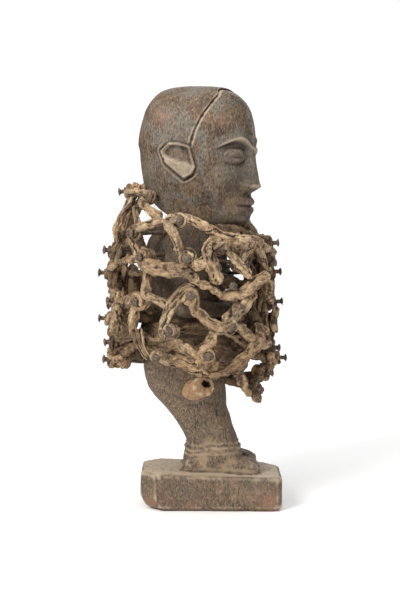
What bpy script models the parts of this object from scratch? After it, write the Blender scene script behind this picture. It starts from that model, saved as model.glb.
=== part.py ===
"""A standing wooden power figure, its trunk set with forged nails that carry a net of hide and fibre cord.

Metres, +Z up, origin at the middle of the base's underside. The figure looks along -Y, and its head is
turned towards its own right hand, which is -X.
"""

import math

import bmesh
import bpy
import numpy as np
from mathutils import Matrix, Vector
from mathutils.bvhtree import BVHTree

# The block that the figure stands on
BASE_LENGTH = 0.150
BASE_WIDTH = 0.094
BASE_THICKNESS = 0.040
BASE_CORNER_CUT = 0.016
BASE_EDGE_WEAR = 0.004
BASE_TAPER = 0.0025
BASE_HEEL_WEAR = 0.009

# The figure, from its soles to its crown; its carving is in shares of this height
FIGURE_HEIGHT = 0.410
UNITS_IN_FIGURE = 410
HEAD_TURN = math.radians(25)
LEG_SPACING = 0.044

# The forged nails
NAIL_SHANK = 0.0040
NAIL_DRIVEN = 0.012
NAIL_HEAD_THICKNESS = 0.0016
NAIL_FLARE = 0.0030

# The cords and the binding round the waist
CORD_RADIUS = 0.0052
CORD_THIN_ON_NAIL = 0.75
BINDING_THICKNESS = 0.007
BELLY_SAG = 0.009

# Fits and the fineness of the carved skins
CLEARANCE = 0.0003
FIGURE_VOXEL = 0.0022
FIGURE_FACES_KEPT = 0.0226
NET_VOXEL = 0.0020
NET_FACES_KEPT = 0.0166
BINDING_VOXEL = 0.0030
BINDING_FACES_KEPT = 0.022

UNIT = FIGURE_HEIGHT / UNITS_IN_FIGURE
SOLE = BASE_THICKNESS

# Trunk from the hips up: height over the soles, middle, half depth, half width, in units
TRUNK_ROWS = (
    (78, 24, 37, 40),
    (92, 27, 41, 43),
    (110, 29, 43.5, 45),
    (135, 26, 43, 42),
    (160, 26, 40, 40),
    (190, 27, 42, 45),
    (214, 26, 43, 50),
    (232, 26.5, 43, 48),
    (246, 27, 40, 42),
    (258, 25, 33, 33),
    (270, 20, 28, 27),
    (290, 16, 26, 25),
)
# A leg from the ankle up: height, middle, half depth, half width
LEG_ROWS = (
    (4, -3, 31, 17),
    (22, -2, 30, 16),
    (30, -2, 27, 15.5),
    (40, 2, 27, 16),
    (53, 7.5, 29, 17.5),
    (67, 15, 32, 19.5),
    (79, 21, 37, 21),
    (92, 26, 41, 21),
    (108, 28, 40, 20),
)
# A foot from heel to toe: place along it, half width, height of the instep
FOOT_ROWS = (
    (30, 9, 10),
    (26, 14, 17),
    (8, 15, 24),
    (-12, 15.5, 22),
    (-30, 17, 16),
    (-44, 16.5, 12.5),
    (-50, 13, 9),
)
# The head without its features: height from its middle, front, back, half width
HEAD_MIDDLE = (0, 13, 335)
HEAD_ROWS = (
    (-76, 40, 2, 17),
    (-72, 48, -9, 25),
    (-62, 54, -33, 34),
    (-46, 56, -51, 42),
    (-30, 57, -58, 47),
    (-10, 59, -61, 50),
    (12, 62, -61, 50.5),
    (35, 60, -58, 48),
    (53, 53, -51, 42),
    (65, 41, -40, 32),
    (71, 24, -25, 19),
)
# Arms laid along the trunk: side, front to back, height, radius
ARM_ROWS = (
    (45, 24, 214, 12),
    (49, 30, 196, 11),
    (49, 33, 180, 10),
    (42, 8, 174, 9),
    (28, -12, 172, 8),
    (12, -17, 172, 7),
)

# The nails: bearing of the head round the trunk in degrees, from the front towards the figure's right,
# then its height, its reach from the trunk's middle and its radius, in units
TRUNK_MIDDLE = 20
NAILS_SEEN = (
    (172, 297, 80, 4.6),
    (148, 292, 66, 4.2),
    (98, 267, 96, 5.0),
    (132, 255, 98, 5.5),
    (8, 243, 94, 4.6),
    (71, 240, 97, 4.6),
    (166, 236, 98, 5.2),
    (93, 230, 98, 5.4),
    (125, 230, 97, 4.6),
    (22, 223, 96, 4.6),
    (52, 221, 92, 4.2),
    (178, 211, 102, 5.2),
    (352, 211, 98, 4.6),
    (64, 201, 98, 4.8),
    (91, 192, 98, 5.0),
    (129, 184, 97, 5.0),
    (158, 183, 98, 4.8),
    (2, 180, 98, 4.6),
    (196, 173, 98, 4.8),
    (179, 162, 102, 4.8),
    (64, 159, 97, 4.6),
    (105, 155, 98, 5.2),
    (150, 152, 97, 4.6),
    (168, 137, 97, 4.8),
    (14, 132, 97, 4.6),
    (80, 130, 98, 5.0),
    (113, 127, 97, 5.0),
    (166, 120, 99, 5.0),
    (55, 119, 95, 4.6),
    (356, 118, 103, 4.6),
    (24, 107, 94, 4.6),
    (40, 91, 96, 4.4),
)
# The hidden side carries the same sort of nails in staggered rows: height and bearings
HIDDEN_ROWS = (
    (260, (215, 262, 310)),
    (222, (238, 286, 330)),
    (185, (218, 262, 310)),
    (150, (238, 286, 334)),
    (118, (212, 262, 310)),
)
HIDDEN_REACH = 97
HIDDEN_HEAD = 4.8
NAIL_RISE = 0.10

# Places where a cord is knotted to another with no nail: bearing, height, reach
KNOTS = {
    "jaw": (107, 268, 95),
    "chin": (68, 251, 94),
    "chin_front": (46, 247, 92),
    "side_low": (118, 194, 96),
    "side_mid": (104, 188, 99),
    "breast": (50, 209, 95),
    "breast_end": (38, 216, 95),
    "flank": (66, 167, 97),
    "groin": (58, 124, 94),
    "strap_end": (52, 96, 90),
    "hip_front": (42, 140, 96),
    "tail_end": (36, 78, 88),
    "roll_top": (151, 180, 100),
    "roll_end": (148, 146, 101),
    "fray_top": (130, 158, 95),
    "back_strand": (150, 262, 84),
    "pod_root": (86, 104, 87),
}
# The pouch at the hip: its middle, the way its mouth looks, its half thickness and half height,
# then its outline from its closed end out to the rim and back in to the bottom of its hollow
POD_PLACE = (87, 96, 84)
POD_MOUTH = (-0.62, -0.70, 0.36)
POD_HALF = (9.5, 12.5)
POD_ROWS = ((-17, 0.35), (-14, 0.75), (-7, 1.0), (3, 1.02), (11, 0.82), (13.5, 0.55), (12.5, 0.4), (3, 0.3))
# Each cord is one length of hide or fibre: the nails and knots that it runs by, and its share of the radius
CORDS = (
    ((1, 2, "jaw", 3, "chin", "chin_front", 5), 1.1),
    (("jaw", 4, 9, 12), 0.95),
    ((3, 8, 9), 1.1),
    ((9, "side_low", "side_mid"), 0.9),
    ((8, 14, "breast_end"), 1.15),
    ((8, 6, "breast"), 1.0),
    (("chin_front", 11, "breast"), 0.95),
    (("chin_front", 10, 13), 0.9),
    ((22, 15, 21, "hip_front"), 1.0),
    ((14, "flank", 26), 1.0),
    ((22, 26), 0.9),
    ((27, 26, "groin", 29), 1.1),
    ((26, "pod_root"), 0.8),
    (("groin", "strap_end"), 1.25),
    ((29, "hip_front", 25), 1.1),
    ((1, 7, 12), 1.15),
    ((1, "back_strand", 4), 0.9),
    ((2, "back_strand", 7), 0.85),
    ((12, 17, 16), 1.2),
    (("roll_top", "roll_end"), 1.5),
    ((17, 19, 20, 23, 24, 28), 1.0),
    ((16, 23, "fray_top", 27), 1.0),
    ((28, 23), 1.0),
    ((5, 10, 13, 18), 1.0),
    ((18, 21, 25), 1.0),
    ((13, 18, 25, 30, 31, 32, "tail_end"), 1.0),
    ((31, 29), 1.0),
    ((1, 33, 34, 35, 5), 1.0),
    ((12, 33, 36, 34, 37, 35, 38, 5), 0.95),
    ((12, 39, 36, 40, 37, 41, 38, 13), 1.0),
    ((20, 39, 42, 40, 43, 41, 44, 18), 0.95),
    ((28, 45, 42, 46, 43, 47, 44, 30), 1.0),
    ((28, 45, 46, 47, 30), 1.0),
)


def clear_scene():
    for obj in list(bpy.data.objects):
        bpy.data.objects.remove(obj)


def material(name, colour, roughness, metallic=0.0):
    made = bpy.data.materials.new(name)
    made.use_nodes = True
    shader = made.node_tree.nodes["Principled BSDF"]
    shader.inputs["Base Color"].default_value = (*colour, 1)
    shader.inputs["Roughness"].default_value = roughness
    shader.inputs["Metallic"].default_value = metallic
    return made


def smooth_rows(rows, steps):
    """Rows of numbers, with the first one rising, resampled along a smooth curve through them."""
    rows = np.array(rows, float)
    length = np.concatenate([[0], np.cumsum(np.linalg.norm(np.diff(rows, axis=0), axis=1))])
    slope = np.gradient(rows, length, axis=0)
    at = np.linspace(0, length[-1], steps)
    i = np.clip(np.searchsorted(length, at, side="right") - 1, 0, len(rows) - 2)
    span = (length[i + 1] - length[i])[:, None]
    t = (at - length[i])[:, None] / span
    return (
        rows[i] * (1 + 2 * t) * (1 - t) ** 2
        + slope[i] * span * t * (1 - t) ** 2
        + rows[i + 1] * t**2 * (3 - 2 * t)
        + slope[i + 1] * span * t**2 * (t - 1)
    )


def add_loft(mesh, rings):
    """A closed solid through rings of points that all have the same count, closed flat at its two ends."""
    loops = [[mesh.verts.new(p) for p in ring] for ring in rings]
    for low, high in zip(loops, loops[1:]):
        for k in range(len(low)):
            n = (k + 1) % len(low)
            mesh.faces.new((low[k], low[n], high[n], high[k]))
    mesh.faces.new(loops[0][::-1])
    mesh.faces.new(loops[-1])


def oval_ring(middle, half_depth, half_width, height, count=40, power=2.3, side=0.0):
    """A level ring of points, nearly an ellipse, with its first point at the front."""
    angles = np.arange(count) * 2 * math.pi / count
    across = np.sign(np.sin(angles)) * np.abs(np.sin(angles)) ** (2 / power)
    along = np.sign(np.cos(angles)) * np.abs(np.cos(angles)) ** (2 / power)
    return [
        Vector((side + half_width * x, middle - half_depth * y, height))
        for x, y in zip(across, along)
    ]


def add_trunk(mesh):
    rows = smooth_rows(TRUNK_ROWS, 36) * UNIT
    add_loft(mesh, [oval_ring(m, d, w, SOLE + h) for h, m, d, w in rows])


def add_leg(mesh, side):
    rows = smooth_rows(LEG_ROWS, 24) * UNIT
    place = side * LEG_SPACING / 2
    add_loft(mesh, [oval_ring(m, d, w, SOLE + h, side=place) for h, m, d, w in rows])


def add_foot(mesh, side):
    """A low wedge from heel to toe, sunk a little into the base, on which it was carved."""
    sunk = 4 * UNIT
    rings = []
    for along, half, top in smooth_rows(FOOT_ROWS, 16) * UNIT:
        angles = np.linspace(0, math.pi, 13)
        arch = [
            (half * np.sign(math.cos(a)) * abs(math.cos(a)) ** 0.6, top * math.sin(a) ** 0.7)
            for a in angles
        ]
        outline = [(half, -sunk)] + arch[1:-1] + [(-half, -sunk)]
        rings.append([Vector((side * LEG_SPACING / 2 + x, along, SOLE + z)) for x, z in outline])
    add_loft(mesh, rings)


def add_tube(mesh, points, radii, sides=10):
    """A round rod through the points, with its ends drawn in."""
    points = [Vector(p) for p in points]
    tangents = [
        (points[min(k + 1, len(points) - 1)] - points[max(k - 1, 0)]).normalized()
        for k in range(len(points))
    ]
    normal = tangents[0].orthogonal().normalized()
    rings = []
    for point, tangent, radius in zip(points, tangents, radii):
        normal = (normal - tangent * normal.dot(tangent)).normalized()
        binormal = tangent.cross(normal)
        rings.append(
            [
                point + (normal * math.cos(a) + binormal * math.sin(a)) * radius
                for a in (2 * math.pi * k / sides for k in range(sides))
            ]
        )
    drawn_in = 0.5
    first = [points[0] - tangents[0] * radii[0] * drawn_in + (p - points[0]) * drawn_in for p in rings[0]]
    last = [points[-1] + tangents[-1] * radii[-1] * drawn_in + (p - points[-1]) * drawn_in for p in rings[-1]]
    add_loft(mesh, [first, *rings, last])


def add_arm(mesh, side):
    rows = smooth_rows(ARM_ROWS, 20) * UNIT
    add_tube(mesh, [(side * x, y, SOLE + z) for x, y, z, _ in rows], [r for *_, r in rows], sides=14)


def add_base(mesh):
    """The block: a rectangle with its corners cut, its edges worn and its faces not quite upright."""
    half_length, half_width, cut = BASE_LENGTH / 2, BASE_WIDTH / 2, BASE_CORNER_CUT
    corners = [
        (half_width, -half_length + cut * 0.8),
        (half_width, half_length - cut),
        (half_width - cut, half_length),
        (-half_width + cut, half_length),
        (-half_width, half_length - cut),
        (-half_width, -half_length + cut * 0.3),
        (-half_width + cut * 0.3, -half_length),
        (half_width - cut * 1.3, -half_length),
    ]
    inset = BASE_EDGE_WEAR
    levels = (
        (-BASE_EDGE_WEAR, inset, BASE_HEEL_WEAR),
        (0, inset, BASE_HEEL_WEAR),
        (BASE_EDGE_WEAR, 0, BASE_HEEL_WEAR * 0.6),
        (BASE_HEEL_WEAR * 1.6, 0, 0),
        (BASE_THICKNESS - BASE_EDGE_WEAR, 0, 0),
        (BASE_THICKNESS - BASE_EDGE_WEAR / 4, inset * 0.7, 0),
        (BASE_THICKNESS, inset * 1.8, 0),
    )
    rings = []
    for height, drawn, heel in levels:
        ring = []
        for x, y in corners:
            back = max(0.0, y / half_length)
            rise = BASE_TAPER * y / half_length * max(0.0, height / BASE_THICKNESS)
            ring.append(
                Vector(
                    (
                        x * (1 - (drawn + heel * back * 0.5) / half_width),
                        y * (1 - drawn / half_length) - heel * back,
                        height + rise,
                    )
                )
            )
        rings.append(ring)
    add_loft(mesh, rings)


def step(value, low, high):
    """0 below low, 1 above high, and smooth between."""
    t = np.clip((value - low) / (high - low), 0, 1)
    return t * t * (3 - 2 * t)


def bump(value, width):
    return np.exp(-((value / width) ** 2))


def outline_depth(px, py, corners):
    """How far points lie inside an outline with straight sides: positive inside."""
    corners = np.array(corners, float)
    nearest = np.full(px.shape, 1e9)
    inside = np.zeros(px.shape, bool)
    for (ax, ay), (bx, by) in zip(corners, np.roll(corners, -1, axis=0)):
        ex, ey = bx - ax, by - ay
        t = np.clip(((px - ax) * ex + (py - ay) * ey) / (ex * ex + ey * ey), 0, 1)
        nearest = np.minimum(nearest, np.hypot(px - ax - t * ex, py - ay - t * ey))
        crosses = ((ay > py) != (by > py)) & (px < ax + (py - ay) * ex / (ey if ey else 1e-9))
        inside ^= crosses
    return np.where(inside, nearest, -nearest)


EAR_OUTLINE = (
    (11.7, 9),
    (0, 12.5),
    (-9, 13),
    (-19.6, 4.5),
    (-14.4, -8.3),
    (4.6, -24.6),
    (13, -20),
    (17, -12.5),
)


def carve_face(f, s, u):
    """How far the carver left each point of the head's front standing, forwards, in units."""
    away = np.abs(s)
    brow_line = 15 - ((away - 22) / 24) ** 2 * 16
    socket = step(brow_line - u, -0.6, 2.4) * step(u, -22, -4) * step(46 - away, 0, 10) * step(away, 3, 9)
    raised = -5.6 * socket
    raised += 2.0 * bump(u - brow_line - 1.8, 2.8) * step(44 - away, 0, 8)
    raised += 2.2 * bump(s, 2.6) * step(u, 2, 16) * step(62 - u, 0, 22)
    lids = np.sqrt(((away - 21) / 12.5) ** 2 + ((u + 1) / 7.0) ** 2)
    raised += 4.6 * step(1.25 - lids, 0, 0.45)
    along = np.clip((12 - u) / 46, 0, 1)
    tip = step(u, -44, -31)
    raised += tip * step(14 - u, 0, 8) * (3.0 + 11.5 * along**1.2) * bump(s, 5.5 + 4.5 * along)
    raised += 6.0 * bump(away - 9, 4.8) * bump(u + 33, 5.5) * tip
    lips_end = step(25 - away, 0, 15)
    raised += lips_end * (5.6 * bump(u + 48.4, 4.8) + 5.4 * bump(u + 57.6, 5.2))
    raised -= 2.2 * lips_end * bump(u + 53, 1.3)
    raised += 5.5 * bump(away, 18) * bump(u + 69, 7.5)
    raised += 2.5 * bump(away - 31, 11) * bump(u + 22, 12)
    return raised


def head_surface(around, levels):
    """The head's points as an array of levels by around, in units from its middle: forwards, left, up."""
    rows = smooth_rows(HEAD_ROWS, levels)
    angle = np.linspace(-math.pi, math.pi, around, endpoint=False)
    angle = angle - 0.35 * np.sin(angle)
    power = 2 / 2.25
    x = np.sign(np.cos(angle)) * np.abs(np.cos(angle)) ** power
    y = np.sign(np.sin(angle)) * np.abs(np.sin(angle)) ** power
    u, front, back, wide = (rows[:, k][:, None] for k in range(4))
    widest = 0.45 * back + 0.55 * np.minimum(front, 20)
    f = widest + np.where(x > 0, (front - widest) * x, (widest - back) * x)
    s = wide * y
    u = u + np.zeros_like(f)
    facing = step(x, 0.10, 0.42)
    flat = step(f, 30, 52)
    f2 = f + carve_face(f, s, u) * facing * flat
    over = np.clip(u - 11, 0, 60)
    curved = np.minimum(over, 40)
    hairline = 12 + 0.2 * curved + 0.0049 * curved**2 + 0.42 * (over - curved) + 0.23 * np.minimum(u - 11, 0)
    cap = 2.4 * step(hairline - f, -0.6, 0.8) * step(u, -44, -30)
    out = np.hypot(f - widest, s) + 1e-6
    ear = outline_depth(f, u, EAR_OUTLINE) * step(np.abs(s), 20, 30)
    lobe = step(-u - 0.35 * f, 1.0, 9.0)
    lifted = 5.0 * step(ear, -0.6, 1.2) - 4.0 * step(ear, 1.5, 4.0) * (1 - lobe) - 1.4 * bump(ear + 1.8, 1.4)
    lifted = np.maximum(cap, 0) + np.where(np.abs(s) > 20, lifted, 0)
    f3 = f2 + lifted * (f - widest) / out
    s3 = s + lifted * s / out
    return np.stack([f3, s3, u + cap * step(u, 40, 74)], axis=-1)


def add_head(mesh):
    points = head_surface(150, 110)
    turn = Matrix.Rotation(-HEAD_TURN, 4, "Z")
    middle = Vector(HEAD_MIDDLE) * UNIT + Vector((0, 0, SOLE))
    rings = [
        [middle + turn @ (Vector((s, -f, u)) * UNIT) for f, s, u in level] for level in points
    ]
    add_loft(mesh, rings)


def new_object(name, mesh_data, finish=None):
    obj = bpy.data.objects.new(name, mesh_data)
    bpy.context.collection.objects.link(obj)
    if finish:
        mesh_data.materials.append(finish)
    return obj


def object_of_forms(name, forms, finish=None):
    """One object that holds every form's solid; the forms may overlap."""
    mesh = bmesh.new()
    for form, *rest in forms:
        form(mesh, *rest)
    bmesh.ops.recalc_face_normals(mesh, faces=mesh.faces)
    data = bpy.data.meshes.new(name)
    mesh.to_mesh(data)
    mesh.free()
    return new_object(name, data, finish)


def fuse(obj, voxel, kept, smoothing):
    """Joins an object's overlapping solids into one skin of few faces."""
    skin = obj.modifiers.new("skin", "REMESH")
    skin.mode = "VOXEL"
    skin.voxel_size = voxel
    skin.use_smooth_shade = True
    relax = obj.modifiers.new("relax", "SMOOTH")
    relax.factor = 0.5
    relax.iterations = smoothing
    fewer = obj.modifiers.new("fewer", "DECIMATE")
    fewer.ratio = kept


def cut(obj, cutter, name):
    boolean = obj.modifiers.new(name, "BOOLEAN")
    boolean.operation = "DIFFERENCE"
    boolean.solver = "EXACT"
    boolean.object = cutter


def hide_helper(obj):
    obj.hide_render = True
    obj.display_type = "WIRE"
    return obj


def floor_cutter():
    """Everything under the base, so that its underside is truly flat."""
    mesh = bmesh.new()
    depth = BASE_THICKNESS
    bmesh.ops.create_cube(
        mesh,
        size=1,
        matrix=Matrix.Translation((0, 0, -depth / 2))
        @ Matrix.Diagonal((2 * BASE_WIDTH, 2 * BASE_LENGTH, depth, 1)),
    )
    data = bpy.data.meshes.new("floor_cutter")
    mesh.to_mesh(data)
    mesh.free()
    return hide_helper(new_object("floor_cutter", data))


def place_round_trunk(bearing, height, reach):
    turn = math.radians(bearing)
    return Vector(
        (
            -reach * UNIT * math.sin(turn),
            (TRUNK_MIDDLE - reach * math.cos(turn)) * UNIT,
            SOLE + height * UNIT,
        )
    )


class Nail:
    """A forged nail: its head's place, its axis pointing out, and its tip inside the wood."""

    def __init__(self, number, bearing, height, reach, head_radius):
        self.name = f"nail_{number:02d}"
        self.head = place_round_trunk(bearing, height, reach)
        self.head_radius = head_radius * UNIT
        self.sway = NAIL_RISE * math.sin(number * 2.4)
        aim = place_round_trunk(bearing, height + self.sway * reach, 0)
        self.axis = (self.head - aim).normalized()
        self.passes = 0

    def drive(self, tree):
        """Finds where the nail meets the wood, and stops it a driven depth below."""
        start = self.head
        hit, _, _, _ = tree.ray_cast(start, -self.axis)
        if hit is None:
            raise ValueError(f"{self.name} misses the figure")
        self.tip = hit - self.axis * NAIL_DRIVEN

    def under_head(self, radius):
        """The middle of the next cord that is wound under the head."""
        depth = NAIL_HEAD_THICKNESS + NAIL_FLARE + radius * (1 + 1.5 * self.passes)
        self.passes += 1
        return self.head - self.axis * depth

    def place(self):
        """Where the nail stands: its origin at the top of its head, its own +Z out along the shank."""
        frame = self.axis.to_track_quat("Z", "Y").to_matrix().to_4x4()
        frame.translation = self.head
        return frame

    def add_hole(self, mesh):
        """The room that the nail takes, with its clearance."""
        self.add(mesh, self.place(), CLEARANCE)

    def add(self, mesh, frame=Matrix(), clearance=0.0):
        """A square shank that flares into a round head; clearance grows it into a cutter."""
        half = NAIL_SHANK / 2 + clearance
        round_head = self.head_radius + clearance
        underside = -NAIL_HEAD_THICKNESS - clearance
        corners = [(1, 1), (-1, 1), (-1, -1), (1, -1)]

        def ring(points, reach, height):
            return [mesh.verts.new(frame @ Vector((reach * x, reach * y, height))) for x, y in points]

        tip = ring(corners, half * 0.8, -(self.head - self.tip).length - clearance)
        neck = ring(corners, half, underside - NAIL_FLARE)
        angles = [math.pi / 4 + math.pi / 8 * (2 * k - 1) for k in range(8)]
        circle = [(math.cos(a), math.sin(a)) for a in angles]
        rim = ring(circle, round_head, underside)
        crown = mesh.verts.new(frame @ Vector((0, 0, clearance)))
        self.side_faces(mesh, tip, neck)
        for k in range(4):
            first, second, third = rim[2 * k], rim[2 * k + 1], rim[(2 * k + 2) % 8]
            mesh.faces.new((neck[k], second, first))
            mesh.faces.new((neck[k], neck[(k + 1) % 4], third, second))
        if clearance:
            lower, rim = rim, ring(circle, round_head, clearance - NAIL_HEAD_THICKNESS)
            self.side_faces(mesh, lower, rim)
        for k in range(8):
            mesh.faces.new((rim[k], rim[(k + 1) % 8], crown))
        mesh.faces.new(tip[::-1])

    @staticmethod
    def side_faces(mesh, low, high):
        for k in range(len(low)):
            n = (k + 1) % len(low)
            mesh.faces.new((low[k], low[n], high[n], high[k]))


def all_nails():
    hidden = [
        (bearing, height, HIDDEN_REACH, HIDDEN_HEAD)
        for height, bearings in HIDDEN_ROWS
        for bearing in bearings
    ]
    return [Nail(number, *row) for number, row in enumerate((*NAILS_SEEN, *hidden), start=1)]


def wound_points(nail, middle, before, after, radius):
    """The points where a cord lies on a nail, on the side that faces away from both its neighbours."""
    ahead = before - middle
    ahead = (ahead - nail.axis * ahead.dot(nail.axis)).normalized()
    aside = nail.axis.cross(ahead)
    onward = after - middle
    turn = math.atan2(onward.dot(aside), onward.dot(ahead))
    way = -1 if turn > 0 else 1
    wound = math.pi - abs(turn)
    count = 1 + round(wound / math.radians(65))
    offset = NAIL_SHANK / 2 + radius * 0.85
    points = []
    for k in range(count):
        share = (k + 0.5) / count
        angle = way * (math.pi / 2 + wound * share)
        points.append(middle + (ahead * math.cos(angle) + aside * math.sin(angle)) * offset)
    return points


def cord_route(stops, radius, nails):
    """The cord's line: by the nails it is wound on and through its knots."""
    places = []
    for stop in stops:
        if isinstance(stop, str):
            places.append((None, place_round_trunk(*KNOTS[stop])))
        else:
            nail = nails[stop - 1]
            places.append((nail, nail.under_head(radius)))
    line = []
    for k, (nail, middle) in enumerate(places):
        if nail is None:
            line.append(middle)
            continue
        before = places[k - 1][1] if k else places[k + 1][1]
        after = places[k + 1][1] if k + 1 < len(places) else places[k - 1][1]
        line.extend(wound_points(nail, middle, before, after, radius))
    return line


def add_cord(mesh, line, radius, spacing):
    line = [tuple(p) for p in line]
    length = sum((Vector(b) - Vector(a)).length for a, b in zip(line, line[1:]))
    points = smooth_rows(line, max(4, int(length / spacing)))
    add_tube(mesh, points, [radius] * len(points), sides=10)


def add_wrap(mesh, nail, middle, radius):
    """The turn of cord that holds it to a nail: a ring round the shank."""
    ring_radius = NAIL_SHANK / 2 + radius * 0.8
    side = nail.axis.orthogonal().normalized()
    other = nail.axis.cross(side)
    count = 12
    loops = []
    for k in range(count):
        a = 2 * math.pi * k / count
        out = side * math.cos(a) + other * math.sin(a)
        loops.append(
            [
                mesh.verts.new(
                    middle + out * (ring_radius + radius * math.cos(b)) + nail.axis * radius * math.sin(b)
                )
                for b in (2 * math.pi * j / 8 for j in range(8))
            ]
        )
    for k in range(count):
        Nail.side_faces(mesh, loops[k], loops[(k + 1) % count])


def add_pod(mesh):
    """The folded end of a hide strip by the figure's hip: a little pouch with its mouth forwards."""
    middle = place_round_trunk(*POD_PLACE)
    along = Vector(POD_MOUTH).normalized()
    up = (Vector((0, 0, 1)) - along * along.z).normalized()
    across = along.cross(up)
    rings = []
    for reach, share in POD_ROWS:
        angles = [2 * math.pi * k / 16 for k in range(16)]
        rings.append(
            [
                middle
                + along * reach * UNIT
                + (across * math.cos(a) * POD_HALF[0] + up * math.sin(a) * POD_HALF[1]) * share * UNIT
                for a in angles
            ]
        )
    add_loft(mesh, rings)


def add_binding(mesh):
    """The fibre wound round the waist: a fat sleeve, fuller and lower in front over the belly."""
    rings = []
    count = 40
    bottom, top = 98, 158
    for height in np.linspace(bottom, top, 11).tolist():
        end = math.sin(math.pi * (height - bottom) / (top - bottom)) ** 0.35
        middle, depth, width = section_at(height)
        ring = []
        for point in oval_ring(0, 1, 1, 0, count):
            belly = max(0.0, -point.y) ** 2
            full = BINDING_THICKNESS * (0.25 + 0.75 * end) + BELLY_SAG * belly * end
            lift = (1 - belly) * 26 * (top - height) / (top - bottom)
            ring.append(
                Vector(
                    (
                        (width * UNIT + full) * point.x,
                        middle * UNIT + (depth * UNIT + full) * point.y,
                        SOLE + (height + lift) * UNIT,
                    )
                )
            )
        rings.append(ring)
    add_loft(mesh, rings)


def section_at(height):
    """Middle, half depth and half width of the trunk at a height, in units."""
    rows = smooth_rows(TRUNK_ROWS, 200)
    return [float(np.interp(height, rows[:, 0], rows[:, k])) for k in (1, 2, 3)]


def drop_crumbs(obj):
    """Settles an object's cuts into its mesh and keeps only the largest of its shells."""
    mesh = bmesh.new()
    mesh.from_mesh(obj.evaluated_get(bpy.context.evaluated_depsgraph_get()).to_mesh())
    waiting = set(mesh.verts)
    shells = []
    while waiting:
        shell = set()
        edge = [next(iter(waiting))]
        while edge:
            vert = edge.pop()
            if vert in waiting:
                waiting.discard(vert)
                shell.add(vert)
                edge.extend(link.other_vert(vert) for link in vert.link_edges)
        shells.append(shell)
    largest = max(shells, key=len)
    crumbs = [vert for shell in shells if shell is not largest for vert in shell]
    bmesh.ops.delete(mesh, geom=crumbs, context="VERTS")
    obj.modifiers.clear()
    mesh.to_mesh(obj.data)
    mesh.free()


def swollen_copy(obj, by, name):
    """A hidden copy of a finished solid, grown by a clearance, to cut its neighbours with."""
    data = bpy.data.meshes.new_from_object(obj.evaluated_get(bpy.context.evaluated_depsgraph_get()))
    data.name = name
    copy = hide_helper(new_object(name, data))
    grow = copy.modifiers.new("clearance", "DISPLACE")
    grow.mid_level = 0
    grow.strength = by
    return copy


def main():
    clear_scene()
    wood = material("patinated_wood", (0.115, 0.088, 0.066), 0.62)
    iron = material("rusted_iron", (0.080, 0.068, 0.060), 0.70, 0.35)
    fibre = material("hide_and_fibre", (0.330, 0.240, 0.150), 0.85)
    dark_fibre = material("matted_fibre", (0.100, 0.075, 0.050), 0.92)

    figure = object_of_forms(
        "carved_figure",
        [(add_trunk,), (add_head,), (add_base,)]
        + [(form, side) for form in (add_leg, add_foot, add_arm) for side in (-1, 1)],
        wood,
    )
    fuse(figure, FIGURE_VOXEL, FIGURE_FACES_KEPT, 2)
    cut(figure, floor_cutter(), "flat_underside")

    bpy.context.view_layer.update()
    tree = BVHTree.FromObject(figure, bpy.context.evaluated_depsgraph_get())
    nails = all_nails()
    for nail in nails:
        nail.drive(tree)

    figure_clear = swollen_copy(figure, 2 * CLEARANCE, "figure_clearance")
    holes = hide_helper(object_of_forms("nail_holes", [(nail.add_hole,) for nail in nails]))
    cut(figure, holes, "nail_holes")

    for nail in nails:
        object_of_forms(nail.name, [(nail.add,)], iron).matrix_world = nail.place()

    routes = []
    for stops, share in CORDS:
        radius = CORD_RADIUS * share
        line = cord_route(stops, radius, nails)
        routes.append((add_cord, line, radius, 0.008))
    turn = CORD_RADIUS * CORD_THIN_ON_NAIL
    wraps = [
        (add_wrap, nail, nail.head - nail.axis * (NAIL_HEAD_THICKNESS + NAIL_FLARE + turn * k), turn)
        for nail in nails
        for k in (0.9, 2.1, 3.3)
    ]
    net = object_of_forms("cord_net", [*routes, *wraps, (add_pod,)], fibre)
    fuse(net, NET_VOXEL, NET_FACES_KEPT, 1)
    cut(net, figure_clear, "clear_of_the_wood")
    cut(net, holes, "nail_holes")
    drop_crumbs(net)

    binding = object_of_forms("waist_binding", [(add_binding,)], dark_fibre)
    fuse(binding, BINDING_VOXEL, BINDING_FACES_KEPT, 1)
    cut(binding, figure_clear, "fits_the_waist")
    cut(binding, holes, "nail_holes")

    stand = new_object("stand", None)
    for piece in (figure, net, binding, *(bpy.data.objects[nail.name] for nail in nails)):
        piece.parent = stand


main()
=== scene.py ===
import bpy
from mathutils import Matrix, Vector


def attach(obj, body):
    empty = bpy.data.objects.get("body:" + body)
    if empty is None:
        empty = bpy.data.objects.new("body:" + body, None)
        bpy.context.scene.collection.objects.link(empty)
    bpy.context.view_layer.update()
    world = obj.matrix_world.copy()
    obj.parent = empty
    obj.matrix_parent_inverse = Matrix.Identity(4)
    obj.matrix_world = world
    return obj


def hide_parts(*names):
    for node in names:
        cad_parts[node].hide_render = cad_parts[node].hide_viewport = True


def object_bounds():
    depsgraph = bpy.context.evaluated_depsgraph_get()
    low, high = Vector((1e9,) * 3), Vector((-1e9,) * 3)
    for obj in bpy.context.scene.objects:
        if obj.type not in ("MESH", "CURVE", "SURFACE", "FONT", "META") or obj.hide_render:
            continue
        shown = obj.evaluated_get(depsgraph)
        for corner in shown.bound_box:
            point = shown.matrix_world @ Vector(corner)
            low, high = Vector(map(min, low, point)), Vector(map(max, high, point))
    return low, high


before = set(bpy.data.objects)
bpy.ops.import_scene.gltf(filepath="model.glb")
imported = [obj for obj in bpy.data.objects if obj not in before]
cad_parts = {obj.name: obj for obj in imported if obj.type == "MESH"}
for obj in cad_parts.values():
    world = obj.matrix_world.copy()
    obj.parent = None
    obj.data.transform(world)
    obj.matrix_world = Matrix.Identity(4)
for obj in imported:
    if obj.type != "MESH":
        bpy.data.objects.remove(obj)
cadBox = [list(corner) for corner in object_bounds()]

import math

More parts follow.
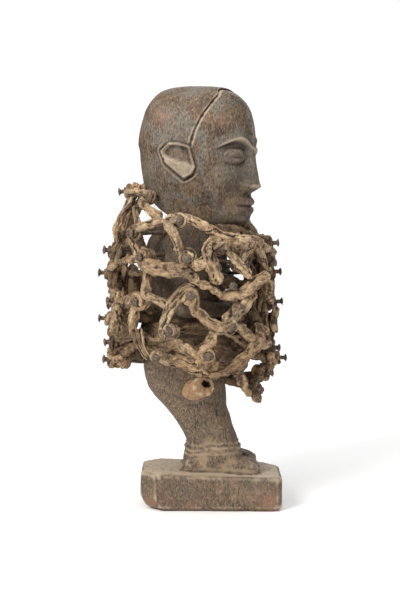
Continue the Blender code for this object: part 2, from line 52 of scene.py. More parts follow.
import bmesh
import bpy
import numpy as np
from mathutils import Matrix, Vector

unit = 0.001  # one unit of the carver's measures, in metres
sole = 0.040  # the top of the block, where the feet stand


# camera, light and floor

studio = {
    "aim": (0, 0.0118, 0.221),
    "lookDown": 4.1,
    "distance": 1.6,
    "lens": 89.3,
    "sensor": 36,
    "skySeen": 1.05,
    "skyLight": 0.23,
    # name, place, power, size and colour
    "lights": (
        ("keyLight", (-1.5, 1.0, 1.3), 39, 0.9, (1, 0.97, 0.93)),
        ("topLight", (-0.3, 0.2, 1.9), 18, 1.4, (1, 1, 1)),
        ("fillLight", (-1.3, -1.5, 0.7), 6, 1.2, (1, 1, 1)),
        ("backLight", (1.5, -0.4, 1.2), 10, 1.2, (1, 1, 1)),
    ),
    "floorRadius": 1.1,
    "floorTone": 0.93,
    "floorGlow": 0.17,
}


def setCamera():
    data = bpy.data.cameras.new("camera")
    data.sensor_fit = "VERTICAL"
    data.sensor_height = studio["sensor"]
    data.lens = studio["lens"]
    down = math.radians(studio["lookDown"])
    back = Vector((-math.cos(down), 0, math.sin(down)))
    camera = bpy.data.objects.new("camera", data)
    camera.location = Vector(studio["aim"]) + back * studio["distance"]
    camera.rotation_euler = back.to_track_quat("Z", "Y").to_euler()
    bpy.context.collection.objects.link(camera)
    bpy.context.scene.camera = camera


def addLight(name, place, power, size, colour):
    data = bpy.data.lights.new(name, "AREA")
    data.shape = "DISK"
    data.size = size
    data.energy = power
    data.color = colour
    light = bpy.data.objects.new(name, data)
    light.location = place
    light.rotation_euler = (Vector(place) - Vector(studio["aim"])).to_track_quat("Z", "Y").to_euler()
    bpy.context.collection.objects.link(light)


def setStudio():
    world = bpy.data.worlds.new("studio")
    world.use_nodes = True
    sky = world.node_tree.nodes["Background"]
    sky.inputs["Color"].default_value = (1, 1, 1, 1)
    path = world.node_tree.nodes.new("ShaderNodeLightPath")
    choice = world.node_tree.nodes.new("ShaderNodeMapRange")
    choice.inputs["To Min"].default_value = studio["skyLight"]
    choice.inputs["To Max"].default_value = studio["skySeen"]
    world.node_tree.links.new(path.outputs["Is Camera Ray"], choice.inputs["Value"])
    world.node_tree.links.new(choice.outputs["Result"], sky.inputs["Strength"])
    bpy.context.scene.world = world
    bpy.context.scene.view_settings.view_transform = "Standard"
    for light in studio["lights"]:
        addLight(*light)
    mesh = bmesh.new()
    bmesh.ops.create_circle(mesh, cap_ends=True, segments=96, radius=studio["floorRadius"])
    data = bpy.data.meshes.new("floor")
    mesh.to_mesh(data)
    mesh.free()
    floor = bpy.data.objects.new("floor", data)
    bpy.context.collection.objects.link(floor)
    paper = bpy.data.materials.new("paleFloor")
    paper.use_nodes = True
    shader = paper.node_tree.nodes["Principled BSDF"]
    shader.inputs["Base Color"].default_value = (*[studio["floorTone"]] * 3, 1)
    shader.inputs["Roughness"].default_value = 0.9
    shader.inputs["Emission Color"].default_value = (1, 1, 1, 1)
    shader.inputs["Emission Strength"].default_value = studio["floorGlow"]
    data.materials.append(paper)


setCamera()
setStudio()
print("camera, light and floor are set")


# nodes written as sums


def operator(operation, swapped=False):
    # a method that adds one Math node to the tree
    def method(self, *values):
        return self.math(operation, *((*values, self) if swapped else (self, *values)))

    return method


class Wire:
    # a socket that takes part in Python sums
    def __init__(self, socket):
        self.socket = socket

    def other(self, name):
        return Wire(self.socket.node.outputs[name])

    def math(self, operation, *values):
        made = self.socket.id_data.nodes.new("ShaderNodeMath")
        made.operation = operation
        for socket, value in zip(made.inputs, values):
            feed(socket, value)
        return Wire(made.outputs[0])

    def between(self, low, high):
        # 0 below low, 1 above high and smooth between them
        made = self.socket.id_data.nodes.new("ShaderNodeMapRange")
        made.interpolation_type = "SMOOTHSTEP"
        feed(made.inputs[0], self)
        made.inputs[1].default_value = low
        made.inputs[2].default_value = high
        return Wire(made.outputs[0])

    __add__ = operator("ADD")
    __radd__ = operator("ADD", True)
    __sub__ = operator("SUBTRACT")
    __rsub__ = operator("SUBTRACT", True)
    __mul__ = operator("MULTIPLY")
    __rmul__ = operator("MULTIPLY", True)
    __rtruediv__ = operator("DIVIDE", True)
    sine = operator("SINE")
    cosine = operator("COSINE")
    least = operator("MAXIMUM")
    most = operator("MINIMUM")


def feed(socket, value):
    if isinstance(value, Wire):
        socket.id_data.links.new(value.socket, socket)
    elif socket.type == "RGBA" and len(value) == 3:
        socket.default_value = (*value, 1)
    else:
        socket.default_value = value


class Nodes:
    # writes nodes into one tree, a material's or a Geometry Nodes one
    def __init__(self, tree):
        self.tree = tree

    def add(self, kind, settings=None, sockets=None, out=0):
        made = self.tree.nodes.new(kind)
        for key, value in (settings or {}).items():
            if key == "captures":
                for kindOf, name in value:
                    made.capture_items.new(kindOf, name)
            else:
                setattr(made, key, value)
        for key, value in (sockets or {}).items():
            feed(made.inputs[key], value)
        return Wire(made.outputs[out])

    def mix(self, share, first, second, blend="MIX"):
        settings = {"data_type": "RGBA", "blend_type": blend}
        return self.add("ShaderNodeMix", settings, {0: share, 6: first, 7: second}, out=2)

    def layered(self, colour, *layers):
        # colours laid over each other, each with its share
        for share, *tint in layers:
            colour = self.mix(share, colour, *tint)
        return colour

    def scaled(self, vector, *amounts):
        return self.add("ShaderNodeVectorMath", {"operation": "MULTIPLY"}, {0: vector, 1: amounts})

    def combined(self, x, y, z=0.0):
        return self.add("ShaderNodeCombineXYZ", None, {0: x, 1: y, 2: z})

    def noise(self, vector, scale, detail=3, roughness=0.55, distortion=0.0):
        names = ("Vector", "Scale", "Detail", "Roughness", "Distortion")
        values = (vector, scale, detail, roughness, distortion)
        return self.add("ShaderNodeTexNoise", None, dict(zip(names, values)))

    def height(self, vector):
        return self.add("ShaderNodeSeparateXYZ", None, {0: vector}, out=2)

    def named(self, name, kind="FLOAT"):
        # a value that the tree's source carries
        return self.add("GeometryNodeInputNamedAttribute", {"data_type": kind}, {"Name": name})

    def stored(self, geometry, name, value, kind="FLOAT"):
        settings = {"data_type": kind, "domain": "POINT"}
        sockets = {"Geometry": geometry, "Name": name, "Value": value}
        return self.add("GeometryNodeStoreNamedAttribute", settings, sockets)

    def pushed(self, geometry, amount):
        # geometry moved out along its normals
        sockets = {0: self.add("GeometryNodeInputNormal"), "Scale": amount}
        push = self.add("ShaderNodeVectorMath", {"operation": "SCALE"}, sockets)
        return self.add("GeometryNodeSetPosition", None, {"Geometry": geometry, "Offset": push})

    def instances(self, points, form, turn, scale):
        sockets = {"Points": points, "Instance": form, "Rotation": turn, "Scale": scale}
        return self.add("GeometryNodeInstanceOnPoints", None, sockets)

    def realized(self, geometry):
        return self.add("GeometryNodeRealizeInstances", None, {"Geometry": geometry})


class Finish(Nodes):
    # a material under way, with the coordinates and attributes that it reads
    def __init__(self, name):
        self.material = bpy.data.materials.new(name)
        self.material.use_nodes = True
        super().__init__(self.material.node_tree)
        self.shader = self.tree.nodes["Principled BSDF"]
        self.place = self.add("ShaderNodeTexCoord", out="Object")

    def value(self, name):
        return self.add("ShaderNodeAttribute", {"attribute_name": name}, out="Fac")

    def vector(self, name):
        return self.add("ShaderNodeAttribute", {"attribute_name": name}, out="Vector")

    def finish(self, colour, roughness, height, depth, metallic=0.0):
        feed(self.shader.inputs["Base Color"], colour)
        feed(self.shader.inputs["Roughness"], roughness)
        feed(self.shader.inputs["Metallic"], metallic)
        sockets = {"Strength": 1.0, "Distance": depth, "Height": height}
        relief = self.add("ShaderNodeBump", None, sockets)
        feed(self.shader.inputs["Normal"], relief)
        return self.material


# shapes worked out with numbers


def smoothRows(rows, steps):
    # rows of numbers resampled along a smooth curve through them
    rows = np.array(rows, float)
    length = np.concatenate([[0], np.cumsum(np.linalg.norm(np.diff(rows, axis=0), axis=1))])
    slope = np.gradient(rows, length, axis=0)
    at = np.linspace(0, length[-1], steps)
    i = np.clip(np.searchsorted(length, at, side="right") - 1, 0, len(rows) - 2)
    span = (length[i + 1] - length[i])[:, None]
    t = (at - length[i])[:, None] / span
    return (
        rows[i] * (1 + 2 * t) * (1 - t) ** 2
        + slope[i] * span * t * (1 - t) ** 2
        + rows[i + 1] * t**2 * (3 - 2 * t)
        + slope[i + 1] * span * t**2 * (t - 1)
    )


def step(value, low, high):
    t = np.clip((value - low) / (high - low), 0, 1)
    return t * t * (3 - 2 * t)


def bump(value, width):
    return np.exp(-((value / width) ** 2))


def unitRows(rows):
    return rows / np.linalg.norm(rows, axis=1)[:, None]


def boxy(values, power):
    # sines or cosines whose circle is drawn out towards a square
    return np.sign(values) * np.abs(values) ** power


def softNoise(points, size, seed, layers=1):
    # smooth noise from -1 to 1 whose lumps are about size across, with finer layers on it
    total = np.zeros(len(points))
    weight = 0.0
    for layer in range(layers):
        table = np.random.default_rng(seed + layer).random((32, 32, 32))
        scaled = points / (size / 2**layer) + 7.3 * layer
        cell = np.floor(scaled).astype(int)
        t = scaled - cell
        t = t * t * (3 - 2 * t)
        found = np.zeros(len(points))
        for corner in range(8):
            bits = np.array([corner & 1, corner >> 1 & 1, corner >> 2 & 1])
            share = np.prod(np.where(bits, t, 1 - t), axis=1)
            x, y, z = ((cell + bits) % 32).T
            found += share * table[x, y, z]
        total += (found * 2 - 1) / 2**layer
        weight += 1 / 2**layer
    return total / weight * 1.6


def newObject(name, data, finish=None):
    obj = bpy.data.objects.new(name, data)
    bpy.context.collection.objects.link(obj)
    if finish:
        data.materials.append(finish)
    for polygon in data.polygons:
        polygon.use_smooth = True
    return obj


def addLoft(mesh, rings):
    # a closed solid through rings of points that all have the same count
    loops = [[mesh.verts.new(p) for p in ring] for ring in rings]
    for low, high in zip(loops, loops[1:]):
        for k in range(len(low)):
            n = (k + 1) % len(low)
            mesh.faces.new((low[k], low[n], high[n], high[k]))
    mesh.faces.new(loops[0][::-1])
    mesh.faces.new(loops[-1])


def readPoints(data):
    values = np.empty(len(data.vertices) * 3)
    data.vertices.foreach_get("co", values)
    return values.reshape(-1, 3)


def readNormals(data):
    values = np.empty(len(data.vertices) * 3, np.float32)
    data.vertex_normals.foreach_get("vector", values)
    return values.reshape(-1, 3).astype(float)


def writePoints(data, points):
    data.vertices.foreach_set("co", points.ravel())
    data.update()


def pushOut(data, amounts):
    # moves points out along their normals, by amounts in the carver's units
    writePoints(data, readPoints(data) + readNormals(data) * amounts[:, None] * unit)


def setValues(data, name, values):
    # numbers, or vectors, on a mesh's points
    values = np.asarray(values, np.float32)
    kind, key = ("FLOAT_VECTOR", "vector") if values.ndim == 2 else ("FLOAT", "value")
    data.attributes.new(name, kind, "POINT").data.foreach_set(key, values.ravel())


def keepMesh(mesh, data):
    # a bmesh's faces kept as data, with their normals outwards
    bmesh.ops.recalc_face_normals(mesh, faces=mesh.faces)
    mesh.to_mesh(data)
    mesh.free()
    return data


class Neighbours:
    # averages over each point's neighbours on a mesh
    def __init__(self, data):
        ends = np.empty(len(data.edges) * 2, np.int64)
        data.edges.foreach_get("vertices", ends)
        self.first, self.second = ends.reshape(-1, 2).T
        self.count = np.bincount(ends, minlength=len(data.vertices)).astype(float)

    def average(self, values, rounds=1):
        for _ in range(rounds):
            total = np.bincount(self.first, values[self.second], len(self.count))
            total += np.bincount(self.second, values[self.first], len(self.count))
            values = total / self.count
        return values

    def proud(self, data, rounds):
        # how far each point stands proud of the surface round it
        points = readPoints(data)
        smooth = np.stack([self.average(points[:, k], rounds) for k in range(3)], axis=1)
        return ((points - smooth) * readNormals(data)).sum(axis=1)


# finishes


def makeWood():
    made = Finish("patinatedWood")
    place = made.place
    grain = made.noise(made.scaled(place, 1, 1, 0.10), 900, 4, 0.7, 0.3)
    flecks = made.noise(made.scaled(place, 1, 1, 0.45), 640, 3, 0.7)
    mottle = made.noise(place, 310, 4, 0.7, 0.4)
    patches = made.noise(place, 42, 5, 0.65, 0.6)
    greys = made.noise(made.scaled(place, 1, 1, 0.8), 31, 4, 0.6, 0.8)
    reds = made.noise(made.scaled(place, 1.1, 0.9, 1), 53, 4, 0.6)
    dust = made.noise(place, 120, 5, 0.75, 0.3)
    plates = made.add(
        "ShaderNodeTexVoronoi",
        {"feature": "DISTANCE_TO_EDGE"},
        {"Vector": made.scaled(place, 1, 1, 0.7), "Scale": 330, "Randomness": 1.0},
    )
    high = made.height(place)
    low = 1 - high.between(0.100, 0.190)
    tone = (patches * 0.7 + mottle * 0.35 + grain * 0.35).between(0.50, 0.90)
    greyTone = made.mix(high.between(0.250, 0.330), (0.098, 0.074, 0.050), (0.156, 0.146, 0.122))
    crackle = (1 - plates.between(0.00, 0.11)) * low * dust.between(0.40, 0.62)
    red = made.value("ochre") * (dust * 1.6 + mottle * 0.8 - 0.55).most(1.0).least(0.0)
    crust = made.value("crust") * 1.0 + dust * 1.0 + mottle * 0.7
    # the block's upward faces are made paler
    top = made.value("level") * (1 - high.between(0.046, 0.052))
    wearAndHighlight = (made.value("wearAndHighlight") * (0.20 + mottle * 1.4)).most(1.0)
    colour = made.layered(
        made.mix(tone, (0.044, 0.028, 0.017), (0.190, 0.124, 0.072)),
        (greys.between(0.44, 0.60) * 0.72, greyTone),
        (reds.between(0.56, 0.70) * 0.38, (0.130, 0.062, 0.038)),
        (flecks.between(0.53, 0.66) * 0.62, (0.335, 0.250, 0.162)),
        ((1 - flecks).between(0.53, 0.64) * 0.75, (0.018, 0.013, 0.010)),
        ((1 - mottle).between(0.55, 0.68) * 0.45, (0.034, 0.025, 0.019)),
        (crackle * 0.60, (0.330, 0.238, 0.146)),
        (red * 0.85, (0.330, 0.150, 0.095)),
        ((crust - 0.98).between(0.15, 0.80) * 0.66, (0.350, 0.252, 0.156)),
        (top * (0.45 + dust * 0.9).most(1.0) * 0.85, (0.560, 0.460, 0.340)),
        # worn edges made pale, with painted highlights on the ear's rims
        (wearAndHighlight * 0.85, (0.510, 0.405, 0.292)),
        # painted shade over the trunk behind the net, and a dark patch over the cheeks
        (made.value("shadeAndDarkPatch") * 0.80, (0.046, 0.027, 0.013)),
        # painted shade in the hollows, partly dirt in the cracks and pits
        (made.value("hollowShadeAndDirt") * 0.8, (0.020, 0.014, 0.010)),
    )
    height = grain * 0.4 + flecks * 0.4 + mottle * 0.7 + dust * 0.4 - crackle * 0.3
    return made.finish(colour, 0.50 + dust * 0.32, height, 0.0010)


def makeHide():
    made = Finish("hideCord")
    place = made.place
    space = made.vector("cordSpace")
    raised = made.value("raised")
    fibres = made.noise(made.scaled(space, 1, 1, 0.08), 1200, 4, 0.7, 0.5)
    streaks = made.noise(made.scaled(space, 1, 1, 0.16), 420, 3, 0.6, 0.5)
    crust = made.noise(place, 360, 5, 0.8)
    stain = made.noise(place, 34, 3, 0.6)
    smudge = made.noise(place, 110, 4, 0.75)
    greys = made.noise(place, 26, 2, 0.5)
    # raised lumps of the cord are made lighter: partly wear, partly painted highlight, mixed with the
    # cord's own streaks and stains
    light = (streaks * 0.55 + stain * 0.55 + smudge * 0.35 + raised * 0.6).between(0.50, 0.90)
    pale = made.mix(light, (0.150, 0.118, 0.084), (0.600, 0.490, 0.350))
    # the cords are made darker towards the bottom
    low = 1 - made.height(place).between(0.155, 0.205)
    # the low places of the cord's surface are darkened: partly dirt, partly painted shade
    lowDirtAndShade = (0.02 - raised + (smudge - 0.5) * 0.5).between(0.00, 0.22)
    colour = made.layered(
        made.mix(light, (0.215, 0.133, 0.074), (0.860, 0.600, 0.352)),
        (greys.between(0.50, 0.66) * 0.45, pale),
        # each cord's random tone, with painted shade that darkens the cords lying further in
        (made.value("tone"), (0.25, 0.205, 0.16), "MULTIPLY"),
        (fibres.between(0.54, 0.68) * 0.50, (0.740, 0.570, 0.385)),
        ((1 - fibres).between(0.52, 0.66) * 0.62, (0.070, 0.038, 0.018)),
        (crust.between(0.57, 0.68) * 0.55, (0.700, 0.570, 0.420)),
        ((1 - crust).between(0.54, 0.64) * 0.85, (0.028, 0.016, 0.008)),
        (low * 0.42, (0.55, 0.45, 0.34), "MULTIPLY"),
        (lowDirtAndShade * 0.74, (0.050, 0.028, 0.014)),
        # the creases are painted near-black: painted shade in the creases
        (made.value("slit").between(0.15, 0.9) * 0.90, (0.025, 0.014, 0.007)),
    )
    height = fibres * 0.9 + streaks * 0.6 + crust * 1.3
    return made.finish(colour, 0.80 + crust * 0.2, height, 0.0016)


def makeFibre():
    made = Finish("mattedFibre")
    place = made.place
    fibres = made.noise(made.scaled(made.vector("cordSpace"), 1, 1, 0.12), 1300, 4, 0.7, 0.5)
    stain = made.noise(place, 70, 4, 0.7)
    grit = made.noise(place, 420, 4, 0.7)
    light = (stain * 0.8 + fibres * 0.5 + grit * 0.4).between(0.62, 1.08)
    colour = made.layered(
        made.mix(light, (0.036, 0.022, 0.012), (0.540, 0.355, 0.195)),
        (fibres.between(0.55, 0.72) * 0.6, (0.740, 0.530, 0.315)),
        (made.value("tone") * 0.75, (0.040, 0.026, 0.017)),
        ((1 - grit).between(0.56, 0.68) * 0.7, (0.018, 0.012, 0.008)),
        # creases, and the whole binding core, are darkened: painted shade in the creases and between the
        # windings
        (made.value("slit").between(0.2, 0.9) * 0.8, (0.014, 0.009, 0.007)),
    )
    return made.finish(colour, 0.88, fibres + stain * 0.6 + grit, 0.0010)


def makeIron():
    made = Finish("rustedIron")
    place = made.place
    rust = made.noise(place, 420, 5, 0.7)
    scale = made.noise(place, 900, 3, 0.6)
    bloom = made.noise(place, 120, 3, 0.6)
    colour = made.layered(
        made.mix(rust.between(0.40, 0.66), (0.062, 0.047, 0.037), (0.190, 0.135, 0.090)),
        (bloom.between(0.48, 0.66) * 0.5, (0.220, 0.172, 0.125)),
        (scale.between(0.58, 0.70) * 0.5, (0.230, 0.125, 0.068)),
    )
    metallic = (1 - rust.between(0.35, 0.55)) * 0.35
    return made.finish(colour, 0.62 + rust * 0.3, rust * 0.7 + scale * 0.4, 0.0007, metallic)


def makePouchHide():
    made = Finish("pouchHide")
    dots = made.noise(made.place, 520, 4, 0.7)
    veins = made.noise(made.scaled(made.place, 1, 1.6, 0.5), 260, 4, 0.65, 1.2)
    light = (veins * 0.7 + dots * 0.5).between(0.45, 0.85)
    colour = made.layered(
        made.mix(light, (0.200, 0.108, 0.048), (0.480, 0.295, 0.148)),
        (made.value("wearAndHighlight"), (0.640, 0.520, 0.370)),
        # the inside of the bag painted near-black: painted shade
        (made.value("hollowShadeAndDirt"), (0.016, 0.010, 0.007)),
    )
    return made.finish(colour, 0.72, dots + veins, 0.0008)


wood = makeWood()
hide = makeHide()
fibre = makeFibre()
iron = makeIron()
pouchHide = makePouchHide()
print("finishes are made")


# the carved figure

headSizes = {
    "middle": (0, 13, 335),
    "turn": 25,
    "around": 400,
    "levels": 232,
    "rows": (
        (-76, 40, 2, 17), (-72, 48, -9, 25), (-62, 54, -33, 34), (-46, 56, -51, 42),
        (-30, 57, -58, 47), (-10, 59, -61, 50), (12, 62, -61, 50.5), (35, 60, -58, 48),
        (53, 53, -51, 42), (65, 41, -40, 32), (70.4, 24, -25, 19), (71.4, 8, -9, 6.5),
    ),
    "ear": (
        (11.7, 9), (0, 12.5), (-9, 13), (-19.6, 4.5), (-14.4, -8.3), (4.6, -24.6), (13, -20),
        (17, -12.5),
    ),
    # red pigment: along the figure, height, size and strength
    "pigment": (
        (51, 417, 10, 0.95), (44, 412, 8, 0.5), (1, 413, 6, 1.0), (-11, 410, 5, 0.7),
        (14, 421, 7, 0.4), (-30, 372, 9, 0.45),
    ),
}
bodySizes = {
    "voxel": 0.0014,
    "trunk": (
        (78, 24, 37, 40), (92, 27, 41, 43), (110, 29, 43.5, 45), (135, 26, 43, 42),
        (160, 26, 40, 40), (190, 27, 42, 45), (214, 26, 43, 50), (232, 26.5, 43, 48),
        (246, 27, 40, 42), (258, 25, 33, 33), (270, 20, 28, 27), (290, 16, 26, 25),
    ),
    "leg": (
        (4, -3, 31, 17), (22, -2, 30, 16), (30, -2, 27, 15.5), (40, 2, 27, 16),
        (53, 7.5, 29, 17.5), (67, 15, 32, 19.5), (79, 21, 37, 21), (92, 26, 41, 21),
        (108, 28, 40, 20),
    ),
    "foot": (
        (30, 9, 10), (26, 14, 17), (8, 15, 24), (-12, 15.5, 22), (-30, 17, 16),
        (-44, 16.5, 12.5), (-50, 13, 9),
    ),
    "arm": (
        (45, 24, 214, 12), (49, 30, 196, 11), (49, 33, 180, 10), (42, 8, 174, 9),
        (28, -12, 172, 8), (12, -17, 172, 7),
    ),
    "legSpacing": 44,
    "levels": {"trunk": 60, "leg": 40, "foot": 30, "arm": 34},
    "pigment": (
        (-61, 13, 12, 0.9), (-66, 4, 9, 0.8), (63, 9, 9, 1.0), (48, 15, 8, 0.6),
        (33, 160, 18, 0.35), (20, 8, 12, 0.35),
    ),
    # paler crusted places: along the figure, height, size and strength
    "crust": (
        (0, 66, 16, 0.9), (8, 52, 20, 1.0), (-18, 48, 18, 0.9), (-6, 90, 16, 0.35),
        (-25, 22, 20, 0.7), (-50, 20, 18, 0.5),
    ),
}
baseSizes = {
    "length": 150,
    "width": 94,
    "thickness": 40,
    "cornerCut": 16,
    "edge": 4,
    "taper": 2.5,
    "heelWear": 9,
}


def outlineDepth(px, py, corners):
    # how far points lie inside an outline with straight sides: positive inside
    corners = np.array(corners, float)
    nearest = np.full(px.shape, 1e9)
    inside = np.zeros(px.shape, bool)
    for (ax, ay), (bx, by) in zip(corners, np.roll(corners, -1, axis=0)):
        ex, ey = bx - ax, by - ay
        t = np.clip(((px - ax) * ex + (py - ay) * ey) / (ex * ex + ey * ey), 0, 1)
        nearest = np.minimum(nearest, np.hypot(px - ax - t * ex, py - ay - t * ey))
        crosses = ((ay > py) != (by > py)) & (px < ax + (py - ay) * ex / (ey if ey else 1e-9))
        inside ^= crosses
    return np.where(inside, nearest, -nearest)


def carveFace(f, s, u):
    # how far the carver left each point of the head's front standing, forwards
    away = np.abs(s)
    browLine = 15 - ((away - 22) / 24) ** 2 * 16
    socket = step(browLine - u, -0.6, 2.4) * step(u, -22, -4) * step(46 - away, 0, 10) * step(away, 3, 9)
    raised = -5.6 * socket
    raised += 2.0 * bump(u - browLine - 1.8, 2.8) * step(44 - away, 0, 8)
    raised += 2.2 * bump(s, 2.6) * step(u, 2, 16) * step(62 - u, 0, 22)
    lids = np.sqrt(((away - 21) / 12.5) ** 2 + ((u + 1) / 7.0) ** 2)
    raised += 4.6 * step(1.25 - lids, 0, 0.45)
    raised -= 1.6 * bump(lids - 0.80, 0.08)
    raised -= 1.5 * bump(u + 2.2, 0.9) * step(0.85 - lids, 0, 0.2)
    along = np.clip((12 - u) / 46, 0, 1)
    tip = step(u, -44, -31)
    raised += tip * step(14 - u, 0, 8) * (3.0 + 11.5 * along**1.2) * bump(s, 5.5 + 4.5 * along)
    raised += 6.0 * bump(away - 9, 4.8) * bump(u + 33, 5.5) * tip
    raised -= 1.4 * bump(away - 15.5, 1.5) * bump(u + 33, 5)
    raised -= 2.0 * bump(away - 6.5, 2.2) * bump(u + 39.6, 1.5)
    lipsEnd = step(25 - away, 0, 15)
    raised += lipsEnd * (5.6 * bump(u + 48.4, 4.8) + 5.4 * bump(u + 57.6, 5.2))
    raised -= 2.2 * lipsEnd * bump(u + 53, 1.1)
    raised -= 1.3 * bump(s, 2.6) * bump(u + 43.5, 2.6)
    raised += 5.5 * bump(away, 18) * bump(u + 69, 7.5)
    raised += 2.5 * bump(away - 31, 11) * bump(u + 22, 12)
    return raised


def headSurface():
    # the head's points, levels by around, in units from its middle: forwards, left, up
    rows = smoothRows(headSizes["rows"], headSizes["levels"])
    angle = np.linspace(-math.pi, math.pi, headSizes["around"], endpoint=False)
    angle = angle - 0.35 * np.sin(angle)
    power = 2 / 2.25
    x, y = boxy(np.cos(angle), power), boxy(np.sin(angle), power)
    u, front, back, wide = (rows[:, k][:, None] for k in range(4))
    widest = 0.45 * back + 0.55 * np.minimum(front, 20)
    f = widest + np.where(x > 0, (front - widest) * x, (widest - back) * x)
    s = wide * y
    u = u + np.zeros_like(f)
    facing = step(x, 0.10, 0.42)
    flat = step(f, 30, 52)
    f2 = f + carveFace(f, s, u) * facing * flat
    over = np.clip(u - 11, 0, 60)
    curved = np.minimum(over, 40)
    hairline = 12 + 0.2 * curved + 0.0049 * curved**2 + 0.42 * (over - curved)
    hairline += 0.23 * np.minimum(u - 11, 0)
    hairline -= 0.9 * np.maximum(over - 51, 0)
    shown = step(u, 4, 13)
    cap = (2.2 * step(hairline - f, -0.3, 0.5) - 1.1 * bump(hairline - f + 0.8, 0.7)) * shown
    rim = step(f - hairline, 0.7, 1.4) * step(hairline - f + 4.4, 0, 1.2) * shown * step(np.abs(s), 4, 12)
    out = np.hypot(f - widest, s) + 1e-6
    ear = outlineDepth(f, u, headSizes["ear"])
    lobe = step(-u - 0.35 * f, 1.0, 9.0)
    behind = step(-f - u, 0.5, 7.0)
    lifted = 4.6 * step(ear, -0.5, 0.9) - 4.2 * step(ear, 0.9, 3.4) * (1 - lobe)
    lifted -= (0.5 + 1.3 * behind) * bump(ear + 1.5, 1.1)
    lifted += 0.9 * behind * bump(ear + 4.2, 1.0) - 0.8 * behind * bump(ear + 6.0, 1.0)
    lifted -= 1.0 * step(ear, 0.8, 2.0) * lobe * bump(ear - 3.0, 2.0)
    lifted = np.maximum(cap, -1) + np.where(np.abs(s) > 20, lifted * step(np.abs(s), 20, 30), 0)
    f3 = f2 + lifted * (f - widest) / out
    s3 = s + lifted * s / out
    u3 = u + np.maximum(cap, 0) * step(u, 40, 74) * 0.8
    # painted highlights on the ear's raised rim, its lobe and the ridge behind it, with a pale spot at its
    # top
    earRim = step(ear, 0.0, 0.5) * (1 - step(ear, 0.9, 1.8))
    earLights = np.maximum(earRim * (1 - behind * 0.7), step(ear, 0.5, 2.5) * lobe * 0.8)
    earLights = np.maximum(earLights, behind * bump(ear + 4.2, 0.8) * 0.7) * step(np.abs(s), 20, 30)
    earLights = np.maximum(earLights, bump(np.hypot(f + 9, u - 12), 1.6) * 1.3 * step(np.abs(s), 20, 30))
    # the ear's painted highlights and the pale band in front of the cap's edge
    pale = np.maximum(rim * 1.2, earLights)
    return np.stack([f3, s3, u3], axis=-1), pale


def headMatrix():
    middle = Vector(headSizes["middle"]) * unit + Vector((0, 0, sole))
    return Matrix.Translation(middle) @ Matrix.Rotation(-math.radians(headSizes["turn"]), 4, "Z")


def gridObject(name, grids, finish):
    # closed skins over levels of points, each with a single point at its two ends
    points, faces = [], []
    for grid in grids:
        levels, around, _ = grid.shape
        at = len(points) + np.arange(levels * around).reshape(levels, around)
        onward = np.roll(at, -1, axis=1)
        faces += np.stack([at[:-1], onward[:-1], onward[1:], at[1:]], axis=-1).reshape(-1, 4).tolist()
        low, high = int(at[-1, -1]) + 1, int(at[-1, -1]) + 2
        faces += [(int(onward[0, k]), int(at[0, k]), low) for k in range(around)]
        faces += [(int(at[-1, k]), int(onward[-1, k]), high) for k in range(around)]
        points.extend([*grid.reshape(-1, 3), grid[0].mean(axis=0), grid[-1].mean(axis=0)])
    data = bpy.data.meshes.new(name)
    data.from_pydata(points, [], faces)
    mesh = bmesh.new()
    mesh.from_mesh(data)
    return newObject(name, keepMesh(mesh, data), finish)


def spots(points, table, seen=-1):
    # soft patches on the seen side, and the same sort of patches, shifted, on the other
    found = np.zeros(len(points))
    for along, height, size, strength in table:
        for side in (-1, 1):
            shift = 0 if side == seen else 9
            reach = np.hypot(points[:, 1] / unit - along - shift, points[:, 2] / unit - height + shift)
            found = np.maximum(found, strength * bump(reach, size) * (points[:, 0] * side > -0.004))
    return found * (0.75 + 0.5 * softNoise(points, 0.008, 31, 2))


